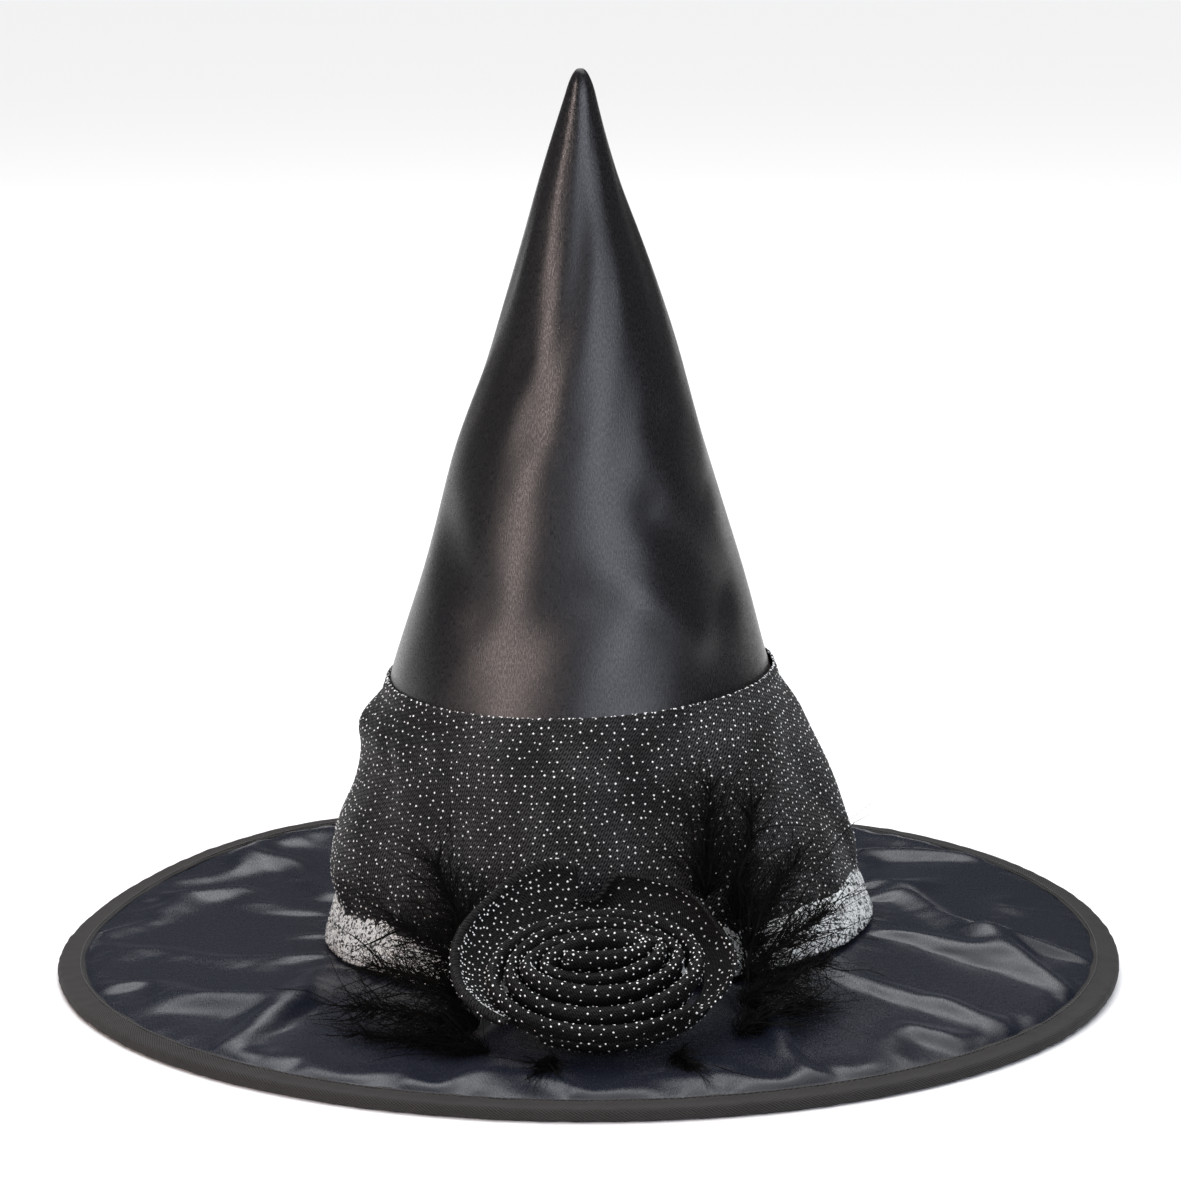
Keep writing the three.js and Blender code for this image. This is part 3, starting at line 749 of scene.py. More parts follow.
def crown_lining(sizes, colours):
    """The stiff cone, its seam tape and the sweatband, as seen from below."""
    stiff = felt("Stiff lining", colours.lining)
    stand_off = -1.75 * MM
    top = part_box("crown_stiffener")[1].z
    angle, share = ring_grid(144, np.linspace(1, 0, 70))
    low = foot.height(angle)
    z = low + (top - low) * share
    cloth = Cloth(crown.place(angle, z, stand_off), crown.flat(angle, z), ring=True)
    cloth.push(-crown_dents(angle, z, sizes))
    made = cloth.make("crown_lining", stiff, 0.9 * MM)
    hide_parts("crown_stiffener")

    low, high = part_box("crown_seam_tape")
    half = (high.x - low.x) / 2
    z, across = np.meshgrid(np.linspace(high.z, low.z, 120), np.linspace(-half, half, 14),
                            indexing="ij")
    x, y, radius = crown.at(z)
    wall = radius + stand_off - 0.25 * MM
    shift = across / wall
    points = np.stack([x - wall * np.sin(shift), y + wall * np.cos(shift), z], axis=-1)
    tape = Cloth(points, np.stack([across, z], axis=-1))
    tape.push(0.2 * MM * ripples(across, z, 14 * MM, 9 * MM, seed=8) + 0.3 * MM)
    made = tape.make("seam_tape", grosgrain("Seam tape", colours.lining), 0.4 * MM)
    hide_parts("crown_seam_tape")

    low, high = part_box("sweatband")
    bottom = low.z - foot.plane.c
    angle, rise = ring_grid(240, np.linspace(high.z - foot.plane.c, bottom, 40))
    rise = rise - np.where(rise > 0, 4.8 * MM * fade(rise, 0, 30 * MM), 0)
    z = foot.height(angle) + rise
    stand_off = -2.55 * MM
    edge = foot.radius + stand_off
    points = crown.place(angle, z, stand_off)
    below = rise < 0
    level = np.stack([foot.x + edge * np.cos(angle), edge * np.sin(angle), z], axis=-1)
    points = np.where(below[..., None], level, points)
    flat = np.stack([(angle - BACK) * edge, z], axis=-1)
    band = Cloth(points, flat, ring=True)
    band.push(0.22 * MM * round_ripples(angle, z, 20, 14 * MM, seed=9))
    made = band.make("sweatband_tape", grosgrain("Sweatband", lighter(colours.lining, 1.3)),
                     0.45 * MM)
    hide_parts("sweatband")


# ---- Brim -----------------------------------------------------------------------------------

STACK = 2.6 * MM  # from the brim's upper satin to its lower one, outside
TURNED_IN = 1.6 * MM  # satin that runs in past the crown's foot
TAPE_FACE = 2.1 * MM  # half the thickness of the folded binding
BRIM_COLUMNS = 600  # of the upper satin's grid
SLACK_COLUMNS, SLACK_ROWS = 240, 26  # grid of the satin while it settles

# Loose folds in the brim's satin, as places in millimetres, width and height.
BRIM_FOLDS = (
    (((-170, 12), (-155, 29), (-148, 54), (-129, 65)), 7, 1.0),
    (((-144, 78), (-132, 89), (-125, 119)), 6, 0.8),
    (((-170, -56), (-149, -53), (-133, -79), (-106, -89)), 6, 0.8),
    (((-119, -130), (-105, -104), (-95, -86), (-93, -50)), 7, 1.0),
    (((-124, 4), (-94, -5)), 8, -0.7),
    (((-111, 95), (-96, 55)), 7, 0.7),
    (((104, 42), (113, 39), (124, 4), (138, -23), (166, -72)), 7, 1.15),
    (((102, 97), (125, 96), (158, 99)), 7, 0.9),
    (((139, -23), (177, -26)), 5, 0.7),
    (((118, -91), (137, -108)), 7, 0.9),
    (((104, -116), (130, -130)), 6, 0.7),
    (((154, 23), (179, 25)), 6, 0.8),
    (((-33, -133), (-8, -166), (-1, -180)), 6, 0.8),
    (((18, -157), (28, -163), (40, -180)), 6, 0.8),
    (((51, -97), (59, -112), (61, -140), (74, -162)), 6, 1.0),
    (((-59, -158), (-49, -176)), 6, 0.8),
    (((-60, 140), (-20, 130), (30, 152)), 8, 1.0),
    (((70, 120), (60, 160)), 7, 0.9),
    (((-90, 130), (-75, 160)), 7, 0.8),
)


def loose_folds(x, y):
    total = np.zeros(x.shape)
    for line, width, height in BRIM_FOLDS:
        near = np.zeros(x.shape)
        for start, end in zip(line, line[1:]):
            ends = [tuple(v * MM for v in spot) for spot in (start, end)]
            near = np.maximum(near, crease(x, y, *ends, width * MM))
        total += height * near
    return total


def resample(grid, rows, columns):
    """A ring's grid read at row and column places between its points, on smooth curves."""
    grid = np.concatenate([grid[:, -2:-1], grid, grid[:, 1:3]], axis=1)
    grid = np.concatenate([grid[:1], grid, grid[-1:], grid[-1:]])
    for axis, places in ((0, rows), (1, columns)):
        low = np.floor(places).astype(int)
        part = (places - low).reshape((-1, 1, 1) if axis == 0 else (1, -1, 1))
        a, b, c, d = (np.take(grid, low + k, axis=axis) for k in range(4))
        grid = b + part / 2 * (c - a + part * (2 * a - 5 * b + 4 * c - d
                                               + part * (3 * (b - c) + d - a)))
    return grid


def settled_satin(outer, inner):
    """Lets slack satin settle on the brim, held at both edges: its moves from flat.

    The cloth is made ten times larger than it is, where the solver works well.
    """
    large = 10
    frames = 50
    angle, radius = ring_grid(SLACK_COLUMNS, np.linspace(outer, inner, SLACK_ROWS))
    base = brim.place(angle, radius, 0)
    x, y = base[..., 0], base[..., 1]
    held = fade(radius, inner, inner + 12 * MM) * (1 - fade(radius, outer - 10 * MM, outer))
    lift = 0.8 * loose_folds(x, y) + 0.25 * ripples(x, y, 40 * MM, 40 * MM, seed=22)
    start = base.copy()
    start[..., 2] += 4 * MM * held * (0.25 + np.clip(lift, 0, None))
    board = Cloth((base - [0, 0, 0.9 * MM]) * large, 0 * base[..., :2], ring=True)
    board = board.make("board", felt("Board", (0.5, 0.5, 0.5)))
    board.modifiers.new("Collision", "COLLISION")
    board.collision.thickness_outer = 0.004
    board.collision.thickness_inner = 0.05
    cloth = Cloth(start * large, 0 * base[..., :2], ring=True)
    cloth = cloth.make("slack", board.data.materials[0])
    pinned = cloth.vertex_groups.new(name="pinned")
    columns = base.shape[1] - 1
    last = (base.shape[0] - 1) * columns
    pinned.add([*range(columns), *range(last, last + columns)], 1, "REPLACE")
    solver = cloth.modifiers.new("Cloth", "CLOTH")
    solver.settings.quality = 6
    solver.settings.mass = 0.15
    solver.settings.tension_stiffness = 60
    solver.settings.compression_stiffness = 60
    solver.settings.shear_stiffness = 24
    solver.settings.bending_stiffness = 30
    solver.settings.air_damping = 2
    solver.settings.tension_damping = 10
    solver.settings.compression_damping = 10
    solver.settings.shear_damping = 10
    solver.settings.bending_damping = 2
    solver.settings.vertex_group_mass = "pinned"
    solver.settings.shrink_min = -0.03
    solver.collision_settings.distance_min = 0.006
    solver.collision_settings.use_self_collision = False
    solver.collision_settings.collision_quality = 3
    solver.point_cache.frame_start = 1
    solver.point_cache.frame_end = frames
    for number in range(1, frames + 1):
        bpy.context.scene.frame_set(number)
    mesh = cloth.evaluated_get(bpy.context.evaluated_depsgraph_get()).to_mesh()
    found = np.array([v.co[:] for v in mesh.vertices]).reshape(-1, columns, 3) / large
    bpy.data.objects.remove(cloth)
    bpy.data.objects.remove(board)
    bpy.context.scene.frame_set(1)
    return np.concatenate([found, found[:, :1]], axis=1) - base


# Where the rosette holds the satin down: middle and half sizes
ROSETTE_PRESS = (3.5 * MM, -137 * MM, 40 * MM, 26 * MM)


def brim_top(sizes, colours):
    inner = foot.radius - TURNED_IN
    angle, radius = ring_grid(BRIM_COLUMNS, np.linspace(brim.sheet, inner, 62))
    points = brim.place(angle, radius, 0)
    x, y = points[..., 0], points[..., 1]
    ends = (brim.binding + 0.5 * MM, foot.radius + 0.5 * MM)
    moves = settled_satin(*ends)
    moves[..., 2] -= 0.9 * moves[:, :-1, 2].mean(axis=1)[:, None]
    moves[..., 2] = np.maximum(moves[..., 2], 0)
    for _ in range(2):
        moves[1:-1] = 0.25 * moves[:-2] + 0.5 * moves[1:-1] + 0.25 * moves[2:]
    tallest = np.quantile(moves[..., 2], 0.99)
    inwards = np.clip((ends[0] - radius[:, 0]) / (ends[0] - ends[1]), 0, 1)
    moves = resample(moves * sizes.folds / tallest, inwards * (SLACK_ROWS - 1),
                     np.arange(angle.shape[1]) * SLACK_COLUMNS / BRIM_COLUMNS)
    px, py, pa, pb = ROSETTE_PRESS
    free = fade(np.hypot((x - px) / pa, (y - py) / pb), 0.8, 1.35)
    points = points + moves * (0.12 + 0.88 * free)[..., None]
    near_edge = np.exp(-((brim.binding - 2 * MM - radius) / (7 * MM)) ** 2)
    uneven = 0.5 + 0.5 * round_ripples(angle, 0 * radius, 9, 1, seed=24)
    puckers = np.maximum(round_ripples(angle, radius, 120, 70 * MM, seed=25, count=22), 0)
    near_foot = np.exp(-((radius - foot.radius - 4 * MM) / (7 * MM)) ** 2)
    gathers = np.maximum(round_ripples(angle, radius, 60, 80 * MM, seed=26, count=18), 0)
    amount = 0.45 * MM * puckers * near_edge * np.clip(uneven, 0.15, 1)
    amount = amount + 0.4 * MM * gathers * near_foot
    amount = amount * (1 - fade(radius, brim.binding - 1 * MM, brim.binding + 1 * MM))
    flat = np.stack([radius * np.cos(angle), radius * np.sin(angle)], axis=-1)
    cloth = Cloth(points, flat, ring=True)
    cloth.push(amount)
    made = cloth.make("brim_top_cloth",
                      satin("Brim satin", colours.brim, (0.8, 0.86, 1), 0.28, 0.27), 0.35 * MM)
    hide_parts("brim_top_satin")


def brim_under(colours):
    inner = foot.radius - TURNED_IN
    angle, radius = ring_grid(480, np.linspace(inner, brim.sheet, 48))
    points = brim.place(angle, radius, -STACK)
    x, y = points[..., 0], points[..., 1]
    held = fade(radius, foot.radius, foot.radius + 18 * MM)
    held = held * (1 - fade(radius, brim.binding - 22 * MM, brim.binding - 2 * MM))
    sag = 0.5 + 0.5 * ripples(x, y, 60 * MM, 60 * MM, seed=30)
    puckers = np.maximum(round_ripples(angle, radius, 90, 70 * MM, seed=31, count=20), 0)
    near_edge = np.exp(-((brim.binding - 3 * MM - radius) / (10 * MM)) ** 2)
    amount = 1.6 * MM * held * np.clip(sag, 0, None) + 0.25 * MM * puckers * near_edge
    amount = amount * (1 - fade(radius, brim.binding - 1 * MM, brim.binding + 1 * MM))
    flat = np.stack([radius * np.cos(angle), radius * np.sin(angle)], axis=-1)
    cloth = Cloth(points, flat, ring=True)
    cloth.push(amount)
    made = cloth.make("brim_under_cloth", satin("Under satin", colours.brim, (0.8, 0.86, 1), 0.3),
                      0.35 * MM)
    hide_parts("brim_under_satin")


def binding_section():
    """Radius and height of the folded tape from its inner edge above to the one below."""
    rounding = 1.7 * MM
    turn = np.linspace(0, math.pi, 15)
    bend_r = brim.edge - rounding + rounding * np.sin(turn)
    bend_h = (TAPE_FACE - rounding) * np.sign(np.cos(turn)) + rounding * np.cos(turn)
    flat_r = np.linspace(brim.binding, brim.edge - rounding, 9)[:-1]
    edge = np.array([0.55, 0.18, 0.05, 0, 0, 0, 0, 0]) * MM
    radius = np.concatenate([flat_r, bend_r, flat_r[::-1]])
    height = np.concatenate([TAPE_FACE - edge, bend_h, -(TAPE_FACE - edge)[::-1]])
    return radius, height


def brim_binding(colours):
    radius, height = binding_section()
    steps = np.hypot(np.diff(radius), np.diff(height))
    along = np.concatenate([[0], np.cumsum(steps)])
    angle, row = ring_grid(760, np.arange(len(radius)))
    row = row.astype(int)
    r, h = radius[row], height[row]
    wander = 0.35 * MM * round_ripples(angle, 0 * r, 60, 1, seed=40)
    inner = np.abs(h) > 1.0 * MM
    r = r + wander * inner * (1 - fade(r, brim.binding, brim.edge - 2 * MM))
    x, y = brim.flat(angle, r)
    middle = brim.height(angle, np.minimum(r, brim.sheet - 0.3 * MM)) - STACK / 2
    points = np.stack([x, y, middle + h], axis=-1)[::-1]
    flat = np.stack([(angle - BACK) * brim.edge, along[row]], axis=-1)[::-1]
    cloth = Cloth(points, flat, ring=True)
    soft = round_ripples(angle, along[row], 150, 12 * MM, seed=41, count=20)
    cloth.push(0.10 * MM * soft * (np.abs(h[::-1]) > 0.6 * MM))
    made = cloth.make("brim_binding_tape", twill("Twill binding", colours.binding), 0.4 * MM)
    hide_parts("brim_binding")


def binding_stitches(sizes, colours):
    """Two rows of lockstitch through the tape, one on each face."""
    line = brim.binding + 1.5 * MM
    count = round(TAU * line / sizes.stitch)
    pitch = TAU / count
    share = np.linspace(0, 1, 6)
    angle = BACK + pitch * (np.arange(count)[:, None] + 0.1 + 0.8 * share)
    arch = 0.34 * MM * np.sin(math.pi * share) - 0.12 * MM
    routes = []
    for side in (1, -1):
        surface = -STACK / 2 + side * TAPE_FACE
        routes.append(brim.place(angle, line + 0 * angle, surface + side * arch))
    routes = np.concatenate(routes)
    radii = np.full(routes.shape[:2], 0.2 * MM)
    made = tubes_piece("binding_stitches", routes, radii, 5,
                       thread("Sewing thread", lighter(colours.binding, 0.5)))


# ---- Net wrap and ribbon --------------------------------------------------------------------

# Creases in the net: two places as degrees from the front and height, width, depth.
WRAP_CREASES = (
    ((6, 0.072), (22, 0.046), 0.006, 2.2),
    ((-46, 0.078), (-36, 0.068), 0.010, 3.2),
    ((-24, 0.092), (-14, 0.050), 0.012, -2.6),
    ((-62, 0.085), (-48, 0.044), 0.006, 2.0),
    ((20, 0.088), (34, 0.070), 0.008, -2.2),
    ((44, 0.060), (58, 0.040), 0.006, 1.6),
    ((68, 0.080), (80, 0.050), 0.007, 1.8),
    ((130, 0.080), (150, 0.045), 0.007, 1.6),
    ((-118, 0.085), (-140, 0.050), 0.007, 1.6),
)


def wrap_cloth():
    corners = corners_of("glitter_wrap")
    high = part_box("glitter_wrap")[1]
    upper = corners[corners[:, 2] > high.z - 12 * MM]
    # the outermost of the upper corners are the hem's, and lie above a plane through them all
    hem = Plane(upper[upper[:, 2] > Plane(upper).at(upper[:, 0], upper[:, 1])])
    share = np.concatenate([np.linspace(0, 1, 74), np.ones(4)])
    angle, share = ring_grid(456, share)
    bottom = foot.height(angle) + 0.4 * MM
    reach = crown.at(np.full_like(angle, high.z - 5 * MM))[2]
    top = hem.at(reach * np.cos(angle), reach * np.sin(angle)) - 0.8 * MM
    z = bottom + (top - bottom) * share
    from_top = top - z
    side = np.cos(angle)
    above = z - bottom
    free = fade(above, 14 * MM, 30 * MM)
    left = np.clip(-side, 0, 1) ** 1.5
    bulge = 5.2 * MM * left * np.exp(-((above - 40 * MM) / (17 * MM)) ** 2)
    bulge += 4.5 * MM * left * np.exp(-((from_top - 11 * MM) / (8 * MM)) ** 2)
    bulge += 1.4 * MM * np.clip(side, 0, 1) * np.exp(-((above - 46 * MM) / (22 * MM)) ** 2)
    folds = round_ripples(angle + above * 3.0, above, 11, 60 * MM, seed=50, count=12)
    gathers = np.maximum(round_ripples(angle, above, 34, 120 * MM, seed=51, count=14), 0)
    near_ribbon = np.exp(-((above - 24 * MM) / (11 * MM)) ** 2)
    settled = fade(from_top, 2 * MM, 20 * MM)
    stand = 1.5 * MM + free * settled * (2.1 * MM * (1 + 0.9 * folds)) + bulge * settled
    stand += near_ribbon * gathers * 1.8 * MM * settled
    mean = float(crown.at(60 * MM)[2])
    for start, end, width, depth in WRAP_CREASES:
        places = [(math.radians(a) * mean, h) for a, h in (start, end)]
        groove = crease(around_front(angle) * mean, z, *places, width)
        stand -= depth * MM * groove * settled
    hem_step = 0.55 * MM * (1 - fade(from_top, 4.6 * MM, 5.2 * MM))
    stand = np.maximum(stand, 1.0 * MM) + hem_step
    stand = np.where(above < 13 * MM, np.minimum(stand, 1.0 * MM), stand)
    stand = np.minimum(stand, 0.95 * MM + np.clip(above - 12 * MM, 0, None) * 0.6)
    for k, drop in enumerate((0.25, 0.6, 1.0, 1.35)):
        stand[-4 + k] -= drop * 0.7 * MM
        z[-4 + k] += (0.28, 0.34, 0.2, -0.25)[k] * MM
    stand += 0.12 * MM * round_ripples(angle, 0 * z, 70, 1, seed=52) * fade(z, top - 9 * MM, top)
    return Cloth(crown.place(angle, z, stand), crown.flat(angle, z), ring=True)


def glitter_wrap(sizes, colours):
    cloth = wrap_cloth()
    made = cloth.make("wrap_net", net("Glitter net", colours.net), sizes.net)
    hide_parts("glitter_wrap")
    places, normals = cloth.scatter(sizes.dot_spacing, seed=60)
    keep = places[:, 2] > foot.plane.at(places[:, 0], places[:, 1]) + 13 * MM
    hem = cloth.points[-5:]
    again = Cloth(hem, cloth.flat[-5:], ring=True).scatter(sizes.dot_spacing, seed=61)
    places = np.concatenate([places[keep], again[0]])
    normals = np.concatenate([normals[keep], again[1]])
    dots = dots_piece("wrap_glitter", places + 0.1 * MM * normals, normals, sizes.dot_width,
                      glitter("Glitter", colours.dots), seed=62)


def silver_ribbon(sizes, colours):
    angle, share = ring_grid(900, np.linspace(0, 1, 24))
    wave = round_ripples(angle, 0 * share, 14, 1, seed=70)
    wave2 = round_ripples(angle, 0 * share, 14, 1, seed=71)
    front = np.exp(-((np.cos(angle) * 1.3) ** 2)) * (np.sin(angle) < 0)
    bottom = foot.height(angle) + (0.7 + 0.5 * wave) * MM + 0.6 * MM
    top = foot.height(angle) + (18.4 + 1.0 * wave2 - 3.5 * front) * MM
    z = bottom + (top - bottom) * share
    along = (angle - BACK) * foot.radius
    fold = np.sin(share * math.pi * 3 + 0.8 * round_ripples(angle, share, 22, 3, seed=72))
    facets = 1 - 2 * np.abs(round_ripples(angle, share, 120, 0.8, seed=73, count=20))
    small = 1 - 2 * np.abs(round_ripples(angle, share, 260, 0.35, seed=74, count=22))
    stand = 2.15 * MM + 0.4 * MM * (1 - share)
    stand = stand + sizes.crumple * (0.35 * fold + 0.30 * facets + 0.16 * small)
    stand += 0.9 * MM * np.exp(-((share - 0.5) / 0.3) ** 2)
    cloth = Cloth(crown.place(angle, z, np.maximum(stand, 1.55 * MM)),
                  np.stack([along, (z - bottom)], axis=-1), ring=True)
    made = cloth.make("ribbon_lurex", lurex("Silver lurex", colours.ribbon), sizes.ribbon)
    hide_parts("silver_ribbon")


# ---- Rosette --------------------------------------------------------------------------------

class Face:
    """The rosette's own frame: u to its right, v up its face, w out of its face."""

    TILT = math.radians(27)
    BEHIND = 6.65 * MM  # from the rosette's middle to the middle of its backing

    def __init__(self):
        low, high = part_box("rosette_backing")
        self.up = np.array([0, math.cos(self.TILT), math.sin(self.TILT)])
        self.out = np.array([0, -math.sin(self.TILT), math.cos(self.TILT)])
        self.middle = (np.array(low) + np.array(high)) / 2 + self.BEHIND * self.out

    def at(self, u, v, w):
        right = np.array([1.0, 0, 0])
        return (self.middle + np.asarray(u)[..., None] * right
                + np.asarray(v)[..., None] * self.up + np.asarray(w)[..., None] * self.out)


# The rosette is one strip rolled outwards: half sizes of its middle line, in each turn
ROLL_START = np.array([14.5, 3.8]) * MM
ROLL_STEP = np.array([5.6, 6.3]) * MM
ROLL_FIRST = -0.5
ROLL_TURNS = 3.9
ROLL_LIFT = 2.0 * MM  # each turn stands higher than the next one out
ROLL_END = math.radians(320)
ROLL_HALF = np.array([2.4, 5.0]) * MM


def rolled_strip(face, first, last, seed, half=ROLL_HALF, drop=0.0):
    """One stretch of the folded strip, from one turn to another, thick and soft."""
    steps = round(150 * (last - first)) + 2
    turn = np.linspace(first, last, steps)[:, None]
    around = np.linspace(0, TAU, 33)[None]
    angle = ROLL_END - TAU * (ROLL_TURNS - turn)
    wander = ripples(turn, 0 * turn, 0.5, 1, seed=80, count=9)
    rise = ripples(turn, 0 * turn, 0.6, 1, seed=81, count=9)
    crimped = 0.35 + np.exp(-((np.cos(angle) - 1) / 0.16) ** 2)
    a = ROLL_START[0] + ROLL_STEP[0] * turn + 0.6 * MM * wander
    b = ROLL_START[1] + ROLL_STEP[1] * turn + 0.5 * MM * wander
    lean = np.radians(14 - 2.3 * turn)
    pointed = 1.45 - 0.12 * turn
    along = a * np.cos(angle)
    beside = b * np.sign(np.sin(angle)) * np.abs(np.sin(angle)) ** pointed
    u = along * np.cos(lean) - beside * np.sin(lean)
    v = along * np.sin(lean) + beside * np.cos(lean)
    run_u, run_v = np.gradient(u, axis=0), np.gradient(v, axis=0)
    run = np.hypot(run_u, run_v)
    ends = 1 - 0.8 * np.clip(1 - (turn - ROLL_FIRST) / 0.12, 0, 1) ** 2
    ends = ends * (1 - 0.8 * np.clip(1 - (ROLL_TURNS + 0.5 - turn) / 0.12, 0, 1) ** 2)
    wide = half[0] * ends * (1 + 0.09 * wander)
    tall = half[1] * ends * (1 + 0.10 * rise)
    square = np.abs(np.sin(around)) ** 0.75 * np.sign(np.sin(around))
    lift = -tall * square
    crimp = ripples(turn + 0.012 * np.cos(around), np.cos(around), 0.035, 1.6, seed=seed,
                    count=16)
    out = wide * np.cos(around) + 0.16 * lift + 0.2 * MM * crimp * crimped
    u = u + out * run_v / run
    v = v - out * run_u / run
    w = ROLL_LIFT * (ROLL_TURNS - turn) - drop + 1.0 * MM * rise + lift
    points = face.at(u, v, w)
    steps = np.linalg.norm(np.diff(points[:, 0], axis=0), axis=-1)
    path = np.concatenate([[0], np.cumsum(steps)])
    flat = np.stack(np.broadcast_arrays(path[:, None], around * half.mean()), axis=-1)
    return Cloth(points, flat, ring=True)


def rosette_petal(face, start, end, low_start, seed):
    """A broad doubled petal that leans out and rolls over behind the rolled strip."""
    share, rise = np.meshgrid(np.linspace(0, 1, 130), np.linspace(0, 1, 52))
    angle = math.radians(start) + math.radians(end - start) * share
    turn = ROLL_TURNS - (ROLL_END - angle) / TAU
    a, b = (ROLL_START[k] + ROLL_STEP[k] * turn for k in (0, 1))
    u, v = a * np.cos(angle), b * np.sin(angle)
    out_u, out_v = np.cos(angle) / a, np.sin(angle) / b
    size = np.hypot(out_u, out_v)
    broad = 0.35 + 0.65 * np.sin(math.pi * (0.2 + 0.8 * share)) ** 0.7
    broad = broad * (1 - low_start * (1 - fade(share, 0.08, 0.16)))
    folds = round_ripples(angle, rise, 7, 3, seed=seed, count=10)
    bulge = np.sin(np.clip(rise / 0.88, 0, 1) * math.pi / 2)
    roll = np.clip((rise - 0.86) / 0.14, 0, 1)
    up = np.clip(v / b, 0, 1)
    reach = 2.6 * MM + (11 + 3 * up) * MM * bulge * broad + 2.2 * MM * folds * rise
    reach = reach + 1.0 * MM * np.sin(roll * 2.6)
    tall = (8 + 9 * up) * MM * broad
    w = -1.5 * MM + tall * rise ** 1.3 - 1.5 * MM * (1 - np.cos(roll * 2.8)) * broad
    w = w + 1.5 * MM * round_ripples(angle, rise, 8, 2, seed=seed + 1, count=10) * rise
    points = face.at(u + reach * out_u / size, v + reach * out_v / size, w)
    flat = np.stack([angle * 40 * MM, rise * 24 * MM], axis=-1)
    return Cloth(points, flat)


def close_start(made):
    """Closes the first end of a rolled strip; make has closed the other."""
    mesh = bmesh.new()
    mesh.from_mesh(made.data)
    edges = [edge for edge in mesh.edges if len(edge.link_faces) == 1]
    bmesh.ops.contextual_create(mesh, geom=edges)
    mesh.to_mesh(made.data)
    mesh.free()


ROLLS = (
    ("bud", ROLL_FIRST, 0.8, "rosette_bud"),
    ("inner", 0.8, 1.8, "rosette_fold_inner"),
    ("middle", 1.8, 2.85, "rosette_fold_middle"),
    ("outer", 2.85, 3.9, "rosette_fold_outer"),
)


def rosette(sizes, colours):
    face = Face()
    # The rosette is the wrap's net coloured five times darker: painted shade for the gaps between
    # its rolls.
    finish = net("Rosette net with painted shade", lighter(colours.net, 0.2))
    spacing = sizes.dot_spacing
    strips = [(name, rolled_strip(face, first, last, 90 + k), node)
              for k, (name, first, last, node) in enumerate(ROLLS)]
    strips.append(("tail", rolled_strip(face, ROLL_TURNS - 0.24, ROLL_TURNS + 0.42, 99,
                                        half=ROLL_HALF * [0.95, 0.62], drop=3.6 * MM), None))
    places, normals = [], []
    for k, (name, cloth, node) in enumerate(strips):
        made = cloth.make(f"rosette_{name}_net", finish, capped=True)
        close_start(made)
        if node:
            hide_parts(node)
        spots, ways = cloth.scatter(spacing, seed=100 + k, kept=0.97)
        places.append(spots)
        normals.append(ways)
    for k, (side, start, end, low_start) in enumerate((("left", 99, 222, 0.0),
                                                       ("right", 103, -34, 0.45))):
        cloth = rosette_petal(face, start, end, low_start, seed=110 + k)
        spots, ways = cloth.scatter(spacing * 0.78, seed=120 + k, kept=0.97)
        places += [spots, spots - 1.35 * MM * ways]
        normals += [ways, -ways]
        made = cloth.make(f"rosette_petal_{side}_net", finish, 1.2 * MM)
        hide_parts(f"rosette_petal_{side}")
    places = np.concatenate(places)
    normals = np.concatenate(normals)
    made = dots_piece("rosette_glitter", places + 0.1 * MM * normals, normals,
                      sizes.dot_width, glitter("Rosette glitter", colours.dots), seed=130)
    nodes = frame["nodes"]
    nodes["rosette_backing"].data.materials[0] = felt("Felt backing", colours.feathers)
    nodes["rosette_glue"].data.materials[0] = glue("Hot glue")


# ---- Feathers -------------------------------------------------------------------------------

def quill_of(node, count=24):
    """The curve along the middle of a feather's node, from the rosette outwards."""
    corners = corners_of(node)
    middle = corners.mean(axis=0)
    axis = np.linalg.svd(corners - middle)[2][0]
    along = (corners - middle) @ axis
    span = along.max() - along.min()
    ends = [corners[along < along.min() + span * 0.04].mean(axis=0),
            corners[along > along.max() - span * 0.04].mean(axis=0)]
    base = Face().middle
    ends.sort(key=lambda end: np.linalg.norm(end - base))
    bend = 2 * middle - 0.5 * (ends[0] + ends[1])
    share = np.linspace(0, 1, count)[:, None]
    return (1 - share) ** 2 * ends[0] + 2 * share * (1 - share) * bend + share ** 2 * ends[1]


def keep_clear(points):
    """Lifts points off the brim and pushes them out of the wrap."""
    floor = brim.top(points[..., 0], points[..., 1]) + 1.6 * MM
    points[..., 2] = np.maximum(points[..., 2], floor)
    x, y, radius = crown.at(points[..., 2])
    away = points[..., :2] - np.stack([x, y], axis=-1)
    reach = np.linalg.norm(away, axis=-1)
    grown = np.maximum(reach, radius + 3.2 * MM) / reach
    points[..., :2] = np.stack([x, y], axis=-1) + away * grown[..., None]
    return points


def square_to(ways, draw):
    """Random unit directions at right angles to the given ones."""
    side = draw.normal(0, 1, ways.shape)
    side -= (side * ways).sum(axis=-1, keepdims=True) * ways
    return side / (np.linalg.norm(side, axis=-1, keepdims=True) + 1e-12)


